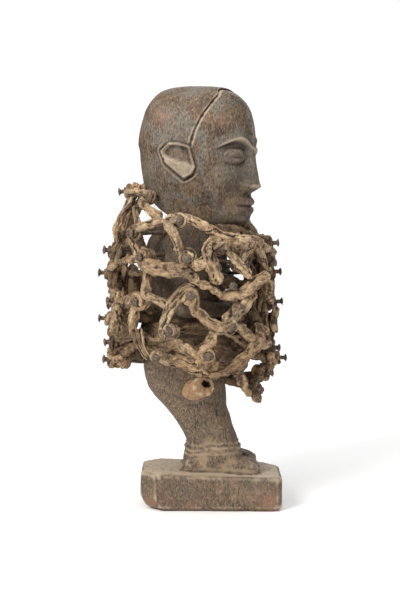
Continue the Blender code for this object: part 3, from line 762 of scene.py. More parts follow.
def weather(obj, broad, fine, pigment, crusted, palePlaces=None):
    # tool marks, dents, grain and small chips, then the values that the finish reads
    data = obj.data
    points = readPoints(data)
    amounts = 0.50 * softNoise(points, 0.017, 3, 2) * broad
    amounts += 0.28 * softNoise(points * (1, 1, 0.5), 0.0075, 5, 2) * broad
    amounts += 0.10 * softNoise(points * (1, 1, 0.3), 0.0022, 13, 2) * fine
    pits = step(softNoise(points * (1, 1, 0.6), 0.0028, 17), 0.60, 0.95)
    pits *= step(softNoise(points, 0.02, 19), 0.0, 0.5)
    amounts -= 0.7 * pits * fine
    split = np.abs(softNoise(points * (1, 1, 0.07), 0.016, 23, 2))
    cracks = (1 - step(split, 0.004, 0.018)) * step(softNoise(points, 0.035, 27), 0.30, 0.6)
    cracks *= 1 - step(0.022 - np.hypot(points[:, 1] - 0.013, points[:, 2] - 0.371), 0, 0.006)
    amounts -= 0.7 * cracks * fine
    pushOut(data, amounts)
    around = Neighbours(data)
    proud = around.average(around.proud(data, 3), 1) / unit
    broader = around.average(around.proud(data, 14), 4) / unit
    wearAndHighlight = step(proud, 0.09, 0.30) * 0.55 + step(broader, 0.40, 1.3) * 0.55
    # the head's pale places bring the ear's painted highlights in with the worn edges
    if palePlaces is not None:
        wearAndHighlight = np.maximum(wearAndHighlight, palePlaces)
    # concave places, cracks and pits are darkened: painted shade in the hollows, partly dirt in the cracks
    # and pits
    hollowShadeAndDirt = step(-proud, 0.10, 0.35) * 0.8 + step(-broader, 0.30, 1.2) * 0.5 + 0.6 * cracks + 0.35 * pits
    points = readPoints(data)
    setValues(data, "wearAndHighlight", np.clip(wearAndHighlight, 0, 1))
    setValues(data, "hollowShadeAndDirt", np.clip(hollowShadeAndDirt, 0, 1))
    setValues(data, "ochre", np.clip(spots(points, pigment), 0, 1))
    setValues(data, "crust", np.clip(crusted(points), 0, 1))
    setValues(data, "level", step(readNormals(data)[:, 2], 0.75, 0.95))
    high = points[:, 2] / unit
    # the trunk behind the net is darkened as painted shade; the cheeks get a dark patch
    shaded = step(high, 150, 185) * step(316 - high, 0, 20) * step(62 - np.abs(points[:, 0] / unit), 0, 6)
    cheek = bump(points[:, 1] + 0.034, 0.024) * bump(points[:, 2] - 0.352, 0.034) * step(high, 300, 320)
    shadeAndDarkPatch = np.maximum(shaded * 0.58, cheek * 0.50)
    setValues(data, "shadeAndDarkPatch", np.clip(shadeAndDarkPatch * (0.85 + 0.4 * softNoise(points, 0.012, 43, 2)), 0, 1))


def makeHead():
    grid, pale = headSurface()
    turned = np.stack([grid[..., 1], -grid[..., 0], grid[..., 2]], axis=-1) * unit
    turn = np.array(headMatrix())
    grid = turned @ turn[:3, :3].T + turn[:3, 3]
    head = gridObject("carvedHead", [grid], wood)
    palePlaces = np.concatenate([pale.ravel(), [0, 0]]) * 0.85

    def headCrust(points):
        low = step(0.335 - points[:, 2], -0.010, 0.020)
        return 0.30 * low + 0.25 * step(softNoise(points, 0.02, 41, 2), 0.1, 0.6)

    weather(head, 0.8, 0.8, headSizes["pigment"], headCrust, palePlaces)
    return head


def ovalRing(middle, halfDepth, halfWidth, height, count=72, power=2.3, side=0.0):
    angles = np.arange(count) * 2 * math.pi / count
    across, along = boxy(np.sin(angles), 2 / power), boxy(np.cos(angles), 2 / power)
    return [(side + halfWidth * x, middle - halfDepth * y, height) for x, y in zip(across, along)]


def addColumn(mesh, part, side):
    # the trunk, or a leg, as ovals over each other: height, middle, half depth and half width
    rows = smoothRows(bodySizes[part], bodySizes["levels"][part]) * unit
    place = side * bodySizes["legSpacing"] / 2 * unit
    addLoft(mesh, [ovalRing(m, d, w, sole + h, side=place) for h, m, d, w in rows])


def addFoot(mesh, side):
    sunk = 4 * unit
    place = side * bodySizes["legSpacing"] / 2 * unit
    rings = []
    for along, half, top in smoothRows(bodySizes["foot"], bodySizes["levels"]["foot"]) * unit:
        arch = []
        for angle in np.linspace(0, math.pi, 25):
            x = half * np.sign(math.cos(angle)) * abs(math.cos(angle)) ** 0.6
            arch.append((x, top * math.sin(angle) ** 0.7))
        outline = [(half, -sunk)] + arch[1:-1] + [(-half, -sunk)]
        rings.append([(place + x, along, sole + z) for x, z in outline])
    addLoft(mesh, rings)


def addArm(mesh, side):
    rows = smoothRows(bodySizes["arm"], bodySizes["levels"]["arm"]) * unit
    points = [Vector((side * x, y, sole + z)) for x, y, z, _ in rows]
    radii = [row[3] for row in rows]
    normal = Vector((1, 0, 0))
    rings = []
    for k, (point, radius) in enumerate(zip(points, radii)):
        tangent = (points[min(k + 1, len(points) - 1)] - points[max(k - 1, 0)]).normalized()
        normal = (normal - tangent * normal.dot(tangent)).normalized()
        other = tangent.cross(normal)
        angles = [2 * math.pi * j / 24 for j in range(24)]
        rings.append([point + (normal * math.cos(a) + other * math.sin(a)) * radius for a in angles])
    addLoft(mesh, rings)


def addBase(mesh):
    # the block: a rectangle with its corners cut, its edges worn and its faces not quite upright
    sizes = {key: value * unit for key, value in baseSizes.items()}
    halfLength, halfWidth, cut = sizes["length"] / 2, sizes["width"] / 2, sizes["cornerCut"]
    corners = [
        (halfWidth, -halfLength + cut * 0.8),
        (halfWidth, halfLength - cut),
        (halfWidth - cut, halfLength),
        (-halfWidth + cut, halfLength),
        (-halfWidth, halfLength - cut),
        (-halfWidth, -halfLength + cut * 0.3),
        (-halfWidth + cut * 0.3, -halfLength),
        (halfWidth - cut * 1.3, -halfLength),
    ]
    edge, heelWear, thickness = sizes["edge"], sizes["heelWear"], sizes["thickness"]
    levels = (
        (-edge * 0.5, edge, heelWear),
        (0, edge, heelWear),
        (edge, 0, heelWear * 0.6),
        (heelWear * 1.6, 0, 0),
        (thickness - edge, 0, 0),
        (thickness - edge / 4, edge * 0.7, 0),
        (thickness, edge * 1.8, 0),
    )
    rings = []
    for height, drawn, heel in levels:
        ring = []
        for x, y in corners:
            back = max(0.0, y / halfLength)
            rise = sizes["taper"] * y / halfLength * max(0.0, height / thickness)
            across = x * (1 - (drawn + heel * back * 0.5) / halfWidth)
            ring.append((across, y * (1 - drawn / halfLength) - heel * back, height + rise))
        rings.append(ring)
    addLoft(mesh, rings)


def bodyCrust(points):
    high = points[:, 2]
    ledge = step(high, 0.0365, 0.0395) * step(0.046 - high, 0, 0.004)
    wave = 0.0022 * softNoise(points, 0.011, 51, 2)
    rows = ((0.0655, 0.0012), (0.060, 0.0011), (0.071, 0.0011))
    ridges = sum(bump(high - height + wave, width) for height, width in rows)
    return spots(points, bodySizes["crust"]) + 0.75 * ledge + 0.5 * ridges


def makeBody():
    mesh = bmesh.new()
    addColumn(mesh, "trunk", 0)
    addBase(mesh)
    for side in (-1, 1):
        addColumn(mesh, "leg", side)
        addFoot(mesh, side)
        addArm(mesh, side)
    body = newObject("carvedBody", keepMesh(mesh, bpy.data.meshes.new("carvedBody")), wood)
    skin = body.modifiers.new("skin", "REMESH")
    skin.mode = "VOXEL"
    skin.voxel_size = bodySizes["voxel"]
    relax = body.modifiers.new("relax", "SMOOTH")
    relax.factor = 0.5
    relax.iterations = 2
    data = bpy.data.meshes.new_from_object(body.evaluated_get(bpy.context.evaluated_depsgraph_get()))
    bpy.data.objects.remove(body)
    data.materials.clear()
    body = newObject("carvedBody", data, wood)
    points = readPoints(data)
    x, y, z = (points / unit).T
    toes = step(-38 - y, -4, 5) * step(z, 40.5, 43) * step(56 - z, 0, 4)
    spacing = np.abs(np.abs(x) - bodySizes["legSpacing"] / 2)
    notches = sum(bump(spacing - place, 0.9) for place in (2.6, 8.2)) * toes
    wave = 2.2 * softNoise(points, 0.011, 51, 2)
    ankle = bump(z - 60 + wave, 1.1) * 0.8 + bump(z - 65.5 + wave, 1.0) + bump(z - 71 + wave, 1.0) * 0.8
    amounts = -1.5 * notches + 1.5 * ankle * step(softNoise(points, 0.014, 53), -0.4, 0.3)
    pushOut(data, amounts)
    weather(body, 1.0, 1.0, bodySizes["pigment"], bodyCrust)
    points = readPoints(data)
    low = points[:, 2] < 0.0012
    points[low, 2] = 0
    points[:, 2] = np.maximum(points[:, 2], 0)
    writePoints(data, points)
    return body


carvedHead = makeHead()
carvedBody = makeBody()
for piece in (carvedHead, carvedBody):
    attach(piece, "root")
    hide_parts("carved_figure")
    print(piece.name, len(piece.data.polygons), "faces")


# the nails

nailSizes = {
    "shank": 4.0,
    "headThickness": 1.6,
    "flare": 3.0,
    "rise": 0.10,
    "trunkMiddle": 20,
    # how much deeper cords lie on the nails at the front and the back, and on each other
    "deeper": 7.5,
    "stacked": 1.45,
    "inset": 0.5,
    "dents": 0.0022,
    # bearing round the trunk from the front towards the figure's right, height, reach, head radius
    "seen": (
        (172, 297, 80, 4.6), (148, 292, 66, 4.2), (98, 267, 96, 5.0), (132, 255, 98, 5.5),
        (8, 243, 94, 4.6), (71, 240, 97, 4.6), (166, 236, 98, 5.2), (93, 230, 98, 5.4),
        (125, 230, 97, 4.6), (22, 223, 96, 4.6), (52, 221, 92, 4.2), (178, 211, 102, 5.2),
        (352, 211, 98, 4.6), (64, 201, 98, 4.8), (91, 192, 98, 5.0), (129, 184, 97, 5.0),
        (158, 183, 98, 4.8), (2, 180, 98, 4.6), (196, 173, 98, 4.8), (179, 162, 102, 4.8),
        (64, 159, 97, 4.6), (105, 155, 98, 5.2), (150, 152, 97, 4.6), (168, 137, 97, 4.8),
        (14, 132, 97, 4.6), (80, 130, 98, 5.0), (113, 127, 97, 5.0), (166, 120, 99, 5.0),
        (55, 119, 95, 4.6), (356, 118, 103, 4.6), (24, 107, 94, 4.6), (40, 91, 96, 4.4),
    ),
    # the hidden side: height and bearings
    "hidden": (
        (260, (215, 262, 310)),
        (222, (238, 286, 330)),
        (185, (218, 262, 310)),
        (150, (238, 286, 334)),
        (118, (212, 262, 310)),
    ),
    "hiddenReach": 97,
    "hiddenHead": 4.8,
}


def placeRoundTrunk(bearing, height, reach):
    turn = math.radians(bearing)
    x = -reach * unit * math.sin(turn)
    y = (nailSizes["trunkMiddle"] - reach * math.cos(turn)) * unit
    return Vector((x, y, sole + height * unit))


class Nail:
    # where a nail's head is, the way out along its shank, and how far down it the next cord lies
    def __init__(self, number, bearing, height, reach, headRadius):
        self.name = f"nail_{number:02d}"
        self.head = placeRoundTrunk(bearing, height, reach)
        self.headRadius = headRadius * unit
        sway = nailSizes["rise"] * math.sin(number * 2.4)
        self.axis = (self.head - placeRoundTrunk(bearing, height + sway * reach, 0)).normalized()
        points = readPoints(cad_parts[self.name].data)
        self.length = float(((np.array(self.head) - points) @ np.array(self.axis)).max())
        deeper = nailSizes["deeper"] * abs(math.cos(math.radians(bearing))) ** 3
        self.depth = (nailSizes["headThickness"] + nailSizes["flare"] * 0.6 + deeper) * unit
        self.ringDepth = (nailSizes["headThickness"] + deeper * 0.6) * unit

    def underHead(self, radius):
        place = self.head - self.axis * (self.depth + radius)
        self.depth += nailSizes["stacked"] * radius
        return place


def allNails():
    rows = list(nailSizes["seen"])
    for height, bearings in nailSizes["hidden"]:
        for bearing in bearings:
            rows.append((bearing, height, nailSizes["hiddenReach"], nailSizes["hiddenHead"]))
    return [Nail(number, *row) for number, row in enumerate(rows, start=1)]


def newTree(name, sockets):
    # a Geometry Nodes tree with named inputs
    tree = bpy.data.node_groups.new(name, "GeometryNodeTree")
    tree.interface.new_socket("Geometry", in_out="INPUT", socket_type="NodeSocketGeometry")
    for socketName, kind in sockets:
        tree.interface.new_socket(socketName, in_out="INPUT", socket_type=f"NodeSocket{kind}")
    tree.interface.new_socket("Geometry", in_out="OUTPUT", socket_type="NodeSocketGeometry")
    nodes = Nodes(tree)
    return nodes, nodes.add("NodeGroupInput")


def endTree(nodes, given, geometry):
    sockets = {"Geometry": nodes.realized(geometry), "Material": given.other("Finish")}
    geometry = nodes.add("GeometryNodeSetMaterial", None, sockets)
    output = nodes.tree.nodes.new("NodeGroupOutput")
    feed(output.inputs[0], geometry)
    return nodes


def grow(name, source, nodes, values):
    # runs a tree on a source and keeps the result as one plain mesh
    modifier = source.modifiers.new("nodes", "NODES")
    modifier.node_group = nodes.tree
    for item in nodes.tree.interface.items_tree:
        if item.item_type == "SOCKET" and item.in_out == "INPUT" and item.name in values:
            modifier[item.identifier] = values[item.name]
    depsgraph = bpy.context.evaluated_depsgraph_get()
    data = bpy.data.meshes.new_from_object(
        source.evaluated_get(depsgraph), preserve_all_data_layers=True, depsgraph=depsgraph
    )
    bpy.data.objects.remove(source)
    return newObject(name, data)


def sourceObject(points, edges, values):
    # points and edges for a tree to grow something on, with the values that it reads
    data = bpy.data.meshes.new("source")
    data.from_pydata([tuple(p) for p in points], edges, [])
    for name, numbers in values.items():
        setValues(data, name, numbers)
    return newObject("source", data)


def nailForms():
    # a forged head of one unit's radius, and a square shank of one unit's length, both pointing down
    rows = (
        (0.42, -1.10), (0.52, -0.78), (0.74, -0.52), (0.97, -0.40), (1.0, -0.27),
        (0.88, -0.15), (0.62, -0.06), (0.30, -0.02),
    )
    angles = [2 * math.pi * k / 14 for k in range(14)]
    head = [[(r * math.cos(a), r * math.sin(a), height) for a in angles] for r, height in rows]
    corners = [(1, 1), (-0.1, 1.12), (-1, 1), (-1.12, 0), (-1, -1), (0, -1.12), (1, -1), (1.12, 0)]
    shank = []
    for k in range(12):
        half = 1 + 0.10 * math.sin(k * 1.9) - 0.2 * k / 11
        shank.append([(x * half, y * half, -k / 11) for x, y in corners])
    forms = []
    for name, rings in (("nailHeadForm", head), ("nailShankForm", shank)):
        mesh = bmesh.new()
        addLoft(mesh, rings)
        forms.append(newObject(name, keepMesh(mesh, bpy.data.meshes.new(name))))
    return forms


def nailTree():
    sockets = (("Head", "Object"), ("Shank", "Object"), ("Dents", "Float"), ("Finish", "Material"))
    nodes, given = newTree("forgedNails", sockets)
    way = nodes.named("axis", "FLOAT_VECTOR")
    turn = nodes.add("FunctionNodeAlignRotationToVector", {"axis": "Z"}, {"Vector": way})
    radius = nodes.named("headRadius")
    half = nailSizes["shank"] / 2 * unit
    both = nodes.tree.nodes.new("GeometryNodeJoinGeometry")
    scales = {"Head": (radius, radius, radius), "Shank": (half, half, nodes.named("nailLength"))}
    for form, scale in scales.items():
        shape = nodes.add("GeometryNodeObjectInfo", None, {"Object": given.other(form)}, out="Geometry")
        feed(both.inputs[0], nodes.instances(given, shape, turn, nodes.combined(*scale)))
    whole = nodes.realized(Wire(both.outputs[0]))
    lumps = nodes.noise(nodes.add("GeometryNodeInputPosition"), 330, 2)
    return endTree(nodes, given, nodes.pushed(whole, (lumps - 0.62) * given.other("Dents")))


nails = allNails()
headForm, shankForm = nailForms()
nailPoints = sourceObject(
    [nail.head - nail.axis * nailSizes["inset"] * unit for nail in nails],
    [],
    {
        "axis": [nail.axis for nail in nails],
        "headRadius": [nail.headRadius * 0.97 for nail in nails],
        "nailLength": [nail.length for nail in nails],
    },
)
values = {"Head": headForm, "Shank": shankForm, "Dents": nailSizes["dents"], "Finish": iron}
forgedNails = grow("forgedNails", nailPoints, nailTree(), values)
for form in (headForm, shankForm):
    bpy.data.objects.remove(form)
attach(forgedNails, "root")
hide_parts(*[nail.name for nail in nails])
print("forgedNails", len(forgedNails.data.polygons), "faces")


# the cords

cordSizes = {
    "radius": 5.0,
    "onNail": 0.66,
    "spacing": 0.002,
    # piece, sides, painted shade that darkens the layers lying further in, and how far its places at the
    # front and the back are drawn in
    "layers": (
        ("seenCords", 26, 0.0, 0),
        ("hiddenCords", 18, 0.25, 0),
        ("innerCords", 14, 0.60, 7),
        ("deepCords", 12, 0.90, 7),
    ),
    "spread": 0.6,
    "step": 0.00135,
    # creases, lumps and the lumps' size
    "surface": (0.30, 0.62, 0.0058),
    # step, sides, creases, lumps and the lumps' size
    "ringKind": (0.0019, 13, 0.35, 0.5, 0.004),
    "fibreKind": (0.0018, 4, 0.0, 0.0, 0.004),
    "fibres": 420,
    "fibreRadius": 0.00026,
    "crumbs": 70000.0,
    "crumbSize": 0.0014,
    "knots": {
        "jaw": (107, 268, 95),
        "chin": (68, 251, 94),
        "chinFront": (46, 247, 92),
        "breast": (50, 209, 95),
        "hipFront": (42, 140, 96),
        "tailEnd": (36, 78, 88),
        "rollTop": (151, 180, 92),
        "rollEnd": (148, 146, 92),
    },
    # each length of cord: the nails and knots that it runs by, its share of the radius, its strands
    "seenCords": (
        (("jaw", 3, "chin", "chinFront", 5), 1.05, 1),
        ((1, (158, 296, 74), 2), 0.8, 1),
        (("jaw", 4, 9), 0.95, 1),
        (("jaw", (102, 257, 94), (99, 246, 94), (97, 232, 90)), 1.0, 1),
        (((91, 218, 90), (99, 217, 93), (110, 218, 93), (120, 221, 90), 9), 1.5, 1),
        ((9, (121, 205, 91), (121, 190, 90), (112, 186, 90), (100, 181, 88)), 1.0, 1),
        (((94, 213, 88), (80, 202, 91), (69, 191, 89), (57, 190, 87)), 1.25, 2),
        (((70, 190, 87), (57, 192, 91), (48, 201, 93), (40, 207, 94), (32, 211, 92)), 1.3, 1),
        (
            (
                (71, 204, 89), (75, 216, 92), (78, 227, 93), (80, 237, 94),
                (77, 245, 94), (72, 246, 92), (66, 242, 88),
            ),
            1.45,
            1,
        ),
        (((91, 222, 86), (84, 224, 90), (77, 228, 89)), 1.35, 1),
        ((6, "breast"), 1.0, 1),
        (("chinFront", 11, "breast"), 0.95, 1),
        (("chinFront", 10, 13), 0.9, 1),
        (((44, 197, 87), (52, 187, 89), (61, 172, 89), (67, 161, 86)), 1.6, 1),
        (((66, 162, 85), (75, 153, 87), (80, 141, 89), (85, 130, 89)), 1.2, 1),
        ((22, (109, 162, 92), (105, 175, 93), (101, 187, 93), (95, 196, 92), (89, 196, 88)), 1.5, 2),
        ((15, (88, 177, 91), (81, 166, 94), (71, 159, 95), 21, "hipFront"), 1.1, 1),
        ((22, 26), 1.15, 1),
        ((27, (105, 124, 88), (96, 122, 89), (87, 116, 89), (79, 111, 88)), 1.1, 1),
        (((96, 126, 88), 26), 0.9, 1),
        (((77, 107, 83), (71, 111, 88), (64, 116, 90), (58, 120, 91), (53, 126, 90)), 1.6, 2),
        ((29, "hipFront", 25), 1.1, 1),
        ((1, 7, 12), 1.15, 4),
        ((1, (147, 276, 84), (155, 258, 88), 7), 0.9, 3),
        ((2, (138, 278, 80), 4), 0.8, 2),
        ((12, 17, 16), 1.2, 1),
        (("rollTop", "rollEnd"), 1.4, 1),
        ((17, 19, 20, 23, 24, 28), 1.0, 1),
        ((16, 23), 1.1, 1),
        (((132, 158, 88), (127, 143, 90), (120, 127, 91)), 0.34, 1),
        (((136, 154, 88), (130, 140, 90), (120, 125, 91)), 0.38, 1),
        (((127, 157, 87), (124, 141, 89), (118, 127, 90)), 0.32, 1),
        ((28, 23), 1.0, 1),
        ((5, 10, 13, 18), 1.0, 1),
        ((18, 21, 25), 1.0, 1),
        ((13, 18, 25, 30, 31, 32, "tailEnd"), 1.0, 1),
    ),
    "hiddenCords": (
        ((1, 33, 34, 35, 5), 1.0, 1),
        ((12, 33, 36, 34, 37, 35, 38, 5), 0.95, 1),
        ((12, 39, 36, 40, 37, 41, 38, 13), 1.0, 1),
        ((20, 39, 42, 40, 43, 41, 44, 18), 0.95, 1),
        ((28, 45, 42, 46, 43, 47, 44), 1.0, 1),
        ((28, 45, 46, 47), 1.0, 1),
    ),
    # the lower layers, through free places: bearing, height, reach
    "innerCords": (
        (((148, 252, 66), (168, 238, 84), (184, 224, 86), (196, 210, 84)), 1.1, 1),
        (((168, 209, 84), (176, 194, 88), (186, 184, 86), (200, 178, 76)), 1.0, 2),
        (((138, 178, 76), (160, 168, 90), (180, 176, 88), (204, 160, 76)), 1.2, 1),
        (((132, 150, 80), (155, 141, 89), (172, 150, 90), (196, 140, 80)), 1.1, 2),
        (((140, 134, 80), (162, 126, 90), (182, 130, 88), (204, 122, 80)), 1.1, 1),
        (((208, 240, 76), (192, 215, 88), (184, 190, 90), (188, 160, 90), (186, 126, 88)), 1.2, 1),
        (((168, 226, 80), (174, 200, 84), (160, 172, 84), (163, 138, 84)), 1.2, 1),
        (((176, 220, 72), (172, 192, 70), (178, 160, 76), (173, 128, 82)), 1.3, 1),
        (((168, 196, 88), (168, 178, 82), (160, 150, 82), (172, 138, 84)), 1.1, 1),
        (((36, 236, 70), (14, 222, 84), (354, 214, 82), (332, 204, 70)), 1.1, 1),
        (((44, 204, 74), (22, 192, 86), (2, 197, 84), (338, 186, 72)), 1.0, 2),
        (((50, 176, 78), (26, 160, 86), (4, 162, 88), (336, 150, 76)), 1.2, 1),
        (((40, 146, 80), (12, 138, 90), (352, 131, 90), (328, 128, 80)), 1.1, 1),
        (((28, 214, 70), (18, 184, 76), (26, 152, 82), (14, 120, 86)), 1.2, 1),
        (((2, 234, 72), (8, 202, 78), (356, 170, 80), (4, 138, 84)), 1.3, 1),
        (((16, 226, 84), (34, 206, 78), (20, 178, 84), (34, 150, 80)), 1.0, 1),
        (((44, 128, 84), (22, 122, 88), (4, 128, 90), (346, 120, 86)), 1.2, 2),
        (((180, 172, 86), (170, 160, 89), (178, 148, 86)), 1.3, 1),
        (((172, 130, 86), (164, 122, 89), (156, 128, 86)), 1.3, 1),
        (((168, 190, 86), (154, 182, 90), (164, 174, 87)), 1.2, 1),
        (((150, 160, 86), (146, 150, 89), (158, 142, 86)), 1.2, 1),
        (((34, 246, 84), (18, 246, 87), (4, 240, 86)), 1.2, 1),
        (((183, 212, 84), (172, 210, 74), (158, 209, 62)), 0.9, 1),
    ),
    "deepCords": (
        (((76, 258, 54), (52, 256, 62), (30, 250, 70), (10, 246, 72)), 1.5, 1),
        (((66, 249, 58), (42, 246, 68), (18, 240, 74), (2, 232, 72)), 1.6, 1),
        (((60, 240, 58), (38, 236, 66), (14, 226, 72)), 1.4, 1),
        (((56, 203, 60), (34, 198, 66), (12, 194, 72)), 1.4, 1),
        (((54, 190, 60), (34, 184, 66), (12, 180, 72)), 1.4, 1),
        (((40, 93, 88), (46, 98, 70), (56, 103, 54)), 1.1, 1),
        (((24, 100, 86), (32, 102, 70), (44, 106, 54)), 1.2, 1),
        (((166, 121, 88), (160, 124, 70), (150, 128, 54)), 1.3, 1),
        (((176, 132, 84), (166, 134, 68), (154, 136, 54)), 1.5, 1),
        (((179, 163, 88), (176, 165, 70), (168, 168, 52)), 1.5, 1),
        (((160, 176, 84), (152, 170, 70), (146, 164, 54)), 1.4, 1),
        (((152, 180, 76), (142, 176, 64), (136, 172, 52)), 1.2, 1),
        (((26, 239, 90), (26, 221, 86), (30, 206, 90), (34, 190, 84)), 1.2, 2),
        (((42, 239, 84), (45, 224, 82), (38, 206, 86)), 1.1, 1),
        (((50, 238, 60), (45, 234, 74), (32, 228, 82)), 1.2, 1),
        (((44, 165, 60), (38, 161, 72), (30, 160, 82)), 1.8, 1),
        (((29, 196, 88), (36, 180, 92), (29, 162, 89), (25, 144, 90)), 1.3, 2),
        (((38, 200, 80), (42, 178, 84), (38, 160, 86), (46, 140, 84)), 1.2, 1),
        (((10, 238, 88), (4, 220, 90), (10, 202, 90), (2, 184, 88)), 1.2, 2),
        (((18, 168, 90), (10, 152, 92), (18, 136, 90), (30, 122, 88)), 1.3, 2),
        (((160, 248, 84), (170, 228, 90), (166, 206, 92), (172, 188, 92)), 1.3, 2),
        (((172, 208, 84), (166, 190, 88), (152, 172, 86), (146, 150, 86)), 1.2, 1),
        (((164, 160, 94), (158, 142, 93), (166, 126, 93), (176, 118, 92)), 1.3, 2),
    ),
}
random = np.random.default_rng(7)


def woundPoints(nail, middle, before, after, radius):
    # where a cord lies on a nail, on the side that faces away from both its neighbours
    ahead = before - middle
    ahead = (ahead - nail.axis * ahead.dot(nail.axis)).normalized()
    aside = nail.axis.cross(ahead)
    onward = after - middle
    turn = math.atan2(onward.dot(aside), onward.dot(ahead))
    way = -1 if turn > 0 else 1
    wound = math.pi - abs(turn)
    count = 1 + round(wound / math.radians(50))
    offset = nailSizes["shank"] / 2 * unit + radius * 0.9
    points = []
    for k in range(count):
        angle = way * (math.pi / 2 + wound * (k + 0.5) / count)
        points.append(middle + (ahead * math.cos(angle) + aside * math.sin(angle)) * offset)
    return points


def cordLine(stops, share, tuck=0):
    # the cord's line as rows of place and radius: wound on nails, through knots, swelling between
    full = cordSizes["radius"] * share * unit
    thin = full * cordSizes["onNail"]
    places = []
    for stop in stops:
        if isinstance(stop, (str, tuple)):
            bearing, height, reach = cordSizes["knots"][stop] if isinstance(stop, str) else stop
            reach -= tuck * abs(math.cos(math.radians(bearing))) ** 4
            places.append((None, placeRoundTrunk(bearing, height, reach)))
        else:
            places.append((nails[stop - 1], nails[stop - 1].underHead(thin)))
    parts = []
    for k, (nail, middle) in enumerate(places):
        if nail is None:
            parts.append([(*middle, full * 0.9)])
            continue
        before = places[k - 1][1] if k else places[k + 1][1]
        after = places[k + 1][1] if k + 1 < len(places) else places[k - 1][1]
        parts.append([(*p, thin) for p in woundPoints(nail, middle, before, after, thin)])
    rows = list(parts[0])
    for part in parts[1:]:
        start, end = np.array(rows[-1]), np.array(part[0])
        gap = np.linalg.norm(end[:3] - start[:3])
        for along, swell in ((0.24, 0.92), (0.5, random.uniform(0.94, 1.14)), (0.76, 0.95)):
            if gap > 0.020 or along == 0.5 and gap > 0.010:
                place = start[:3] + (end[:3] - start[:3]) * along + random.normal(0, 0.0007, 3)
                rows.append((*place, full * swell))
        rows.extend(part)
    length = sum(np.linalg.norm(np.subtract(b[:3], a[:3])) for a, b in zip(rows, rows[1:]))
    return smoothRows(rows, max(6, int(length / cordSizes["spacing"])))


def strandsOf(line, strands):
    # one cord, or several thinner ones that lie beside each other and slowly turn
    places, radii = line[:, :3], line[:, 3]
    if strands == 1:
        ends = np.linspace(0, 1, len(line))
        rounded = np.clip(np.minimum(ends, 1 - ends) * len(line) / 2.5, 0.12, 1)
        return [np.column_stack([places, radii * np.sqrt(rounded)])]
    along = unitRows(np.gradient(places, axis=0))
    side = unitRows(np.cross(along, (0.3, 0.5, 0.8)))
    other = np.cross(along, side)
    found = []
    length = np.arange(len(line)) * cordSizes["spacing"]
    for k in range(strands):
        angle = (2 * math.pi * k / strands + length * 18 + random.uniform(0, 0.6))[:, None]
        reach = (radii * (0.50 + 0.08 * np.sin(length * 90 + k * 2)))[:, None]
        place = places + (side * np.cos(angle) + other * np.sin(angle)) * reach
        found.append(np.column_stack([place, radii * random.uniform(0.46, 0.60)]))
    return found


def linesObject(lines, layerShade=0.0, spread=1.0):
    # many lines as one source that carries each point's radius and each line's tone, with its layer's
    # painted shade
    points, edges, thick, tone, start = [], [], [], [], []
    for line in lines:
        first = len(points)
        points.extend(line[:, :3])
        edges.extend((first + k, first + k + 1) for k in range(len(line) - 1))
        thick.extend(line[:, 3])
        # each line's tone: a random share, raised by its layer's painted shade
        tone.extend([layerShade + (1 - layerShade) * spread * random.uniform(0, 1) ** 2] * len(line))
        start.extend([random.uniform(0, 10)] * len(line))
    return sourceObject(points, edges, {"thick": thick, "tone": tone, "start": start})


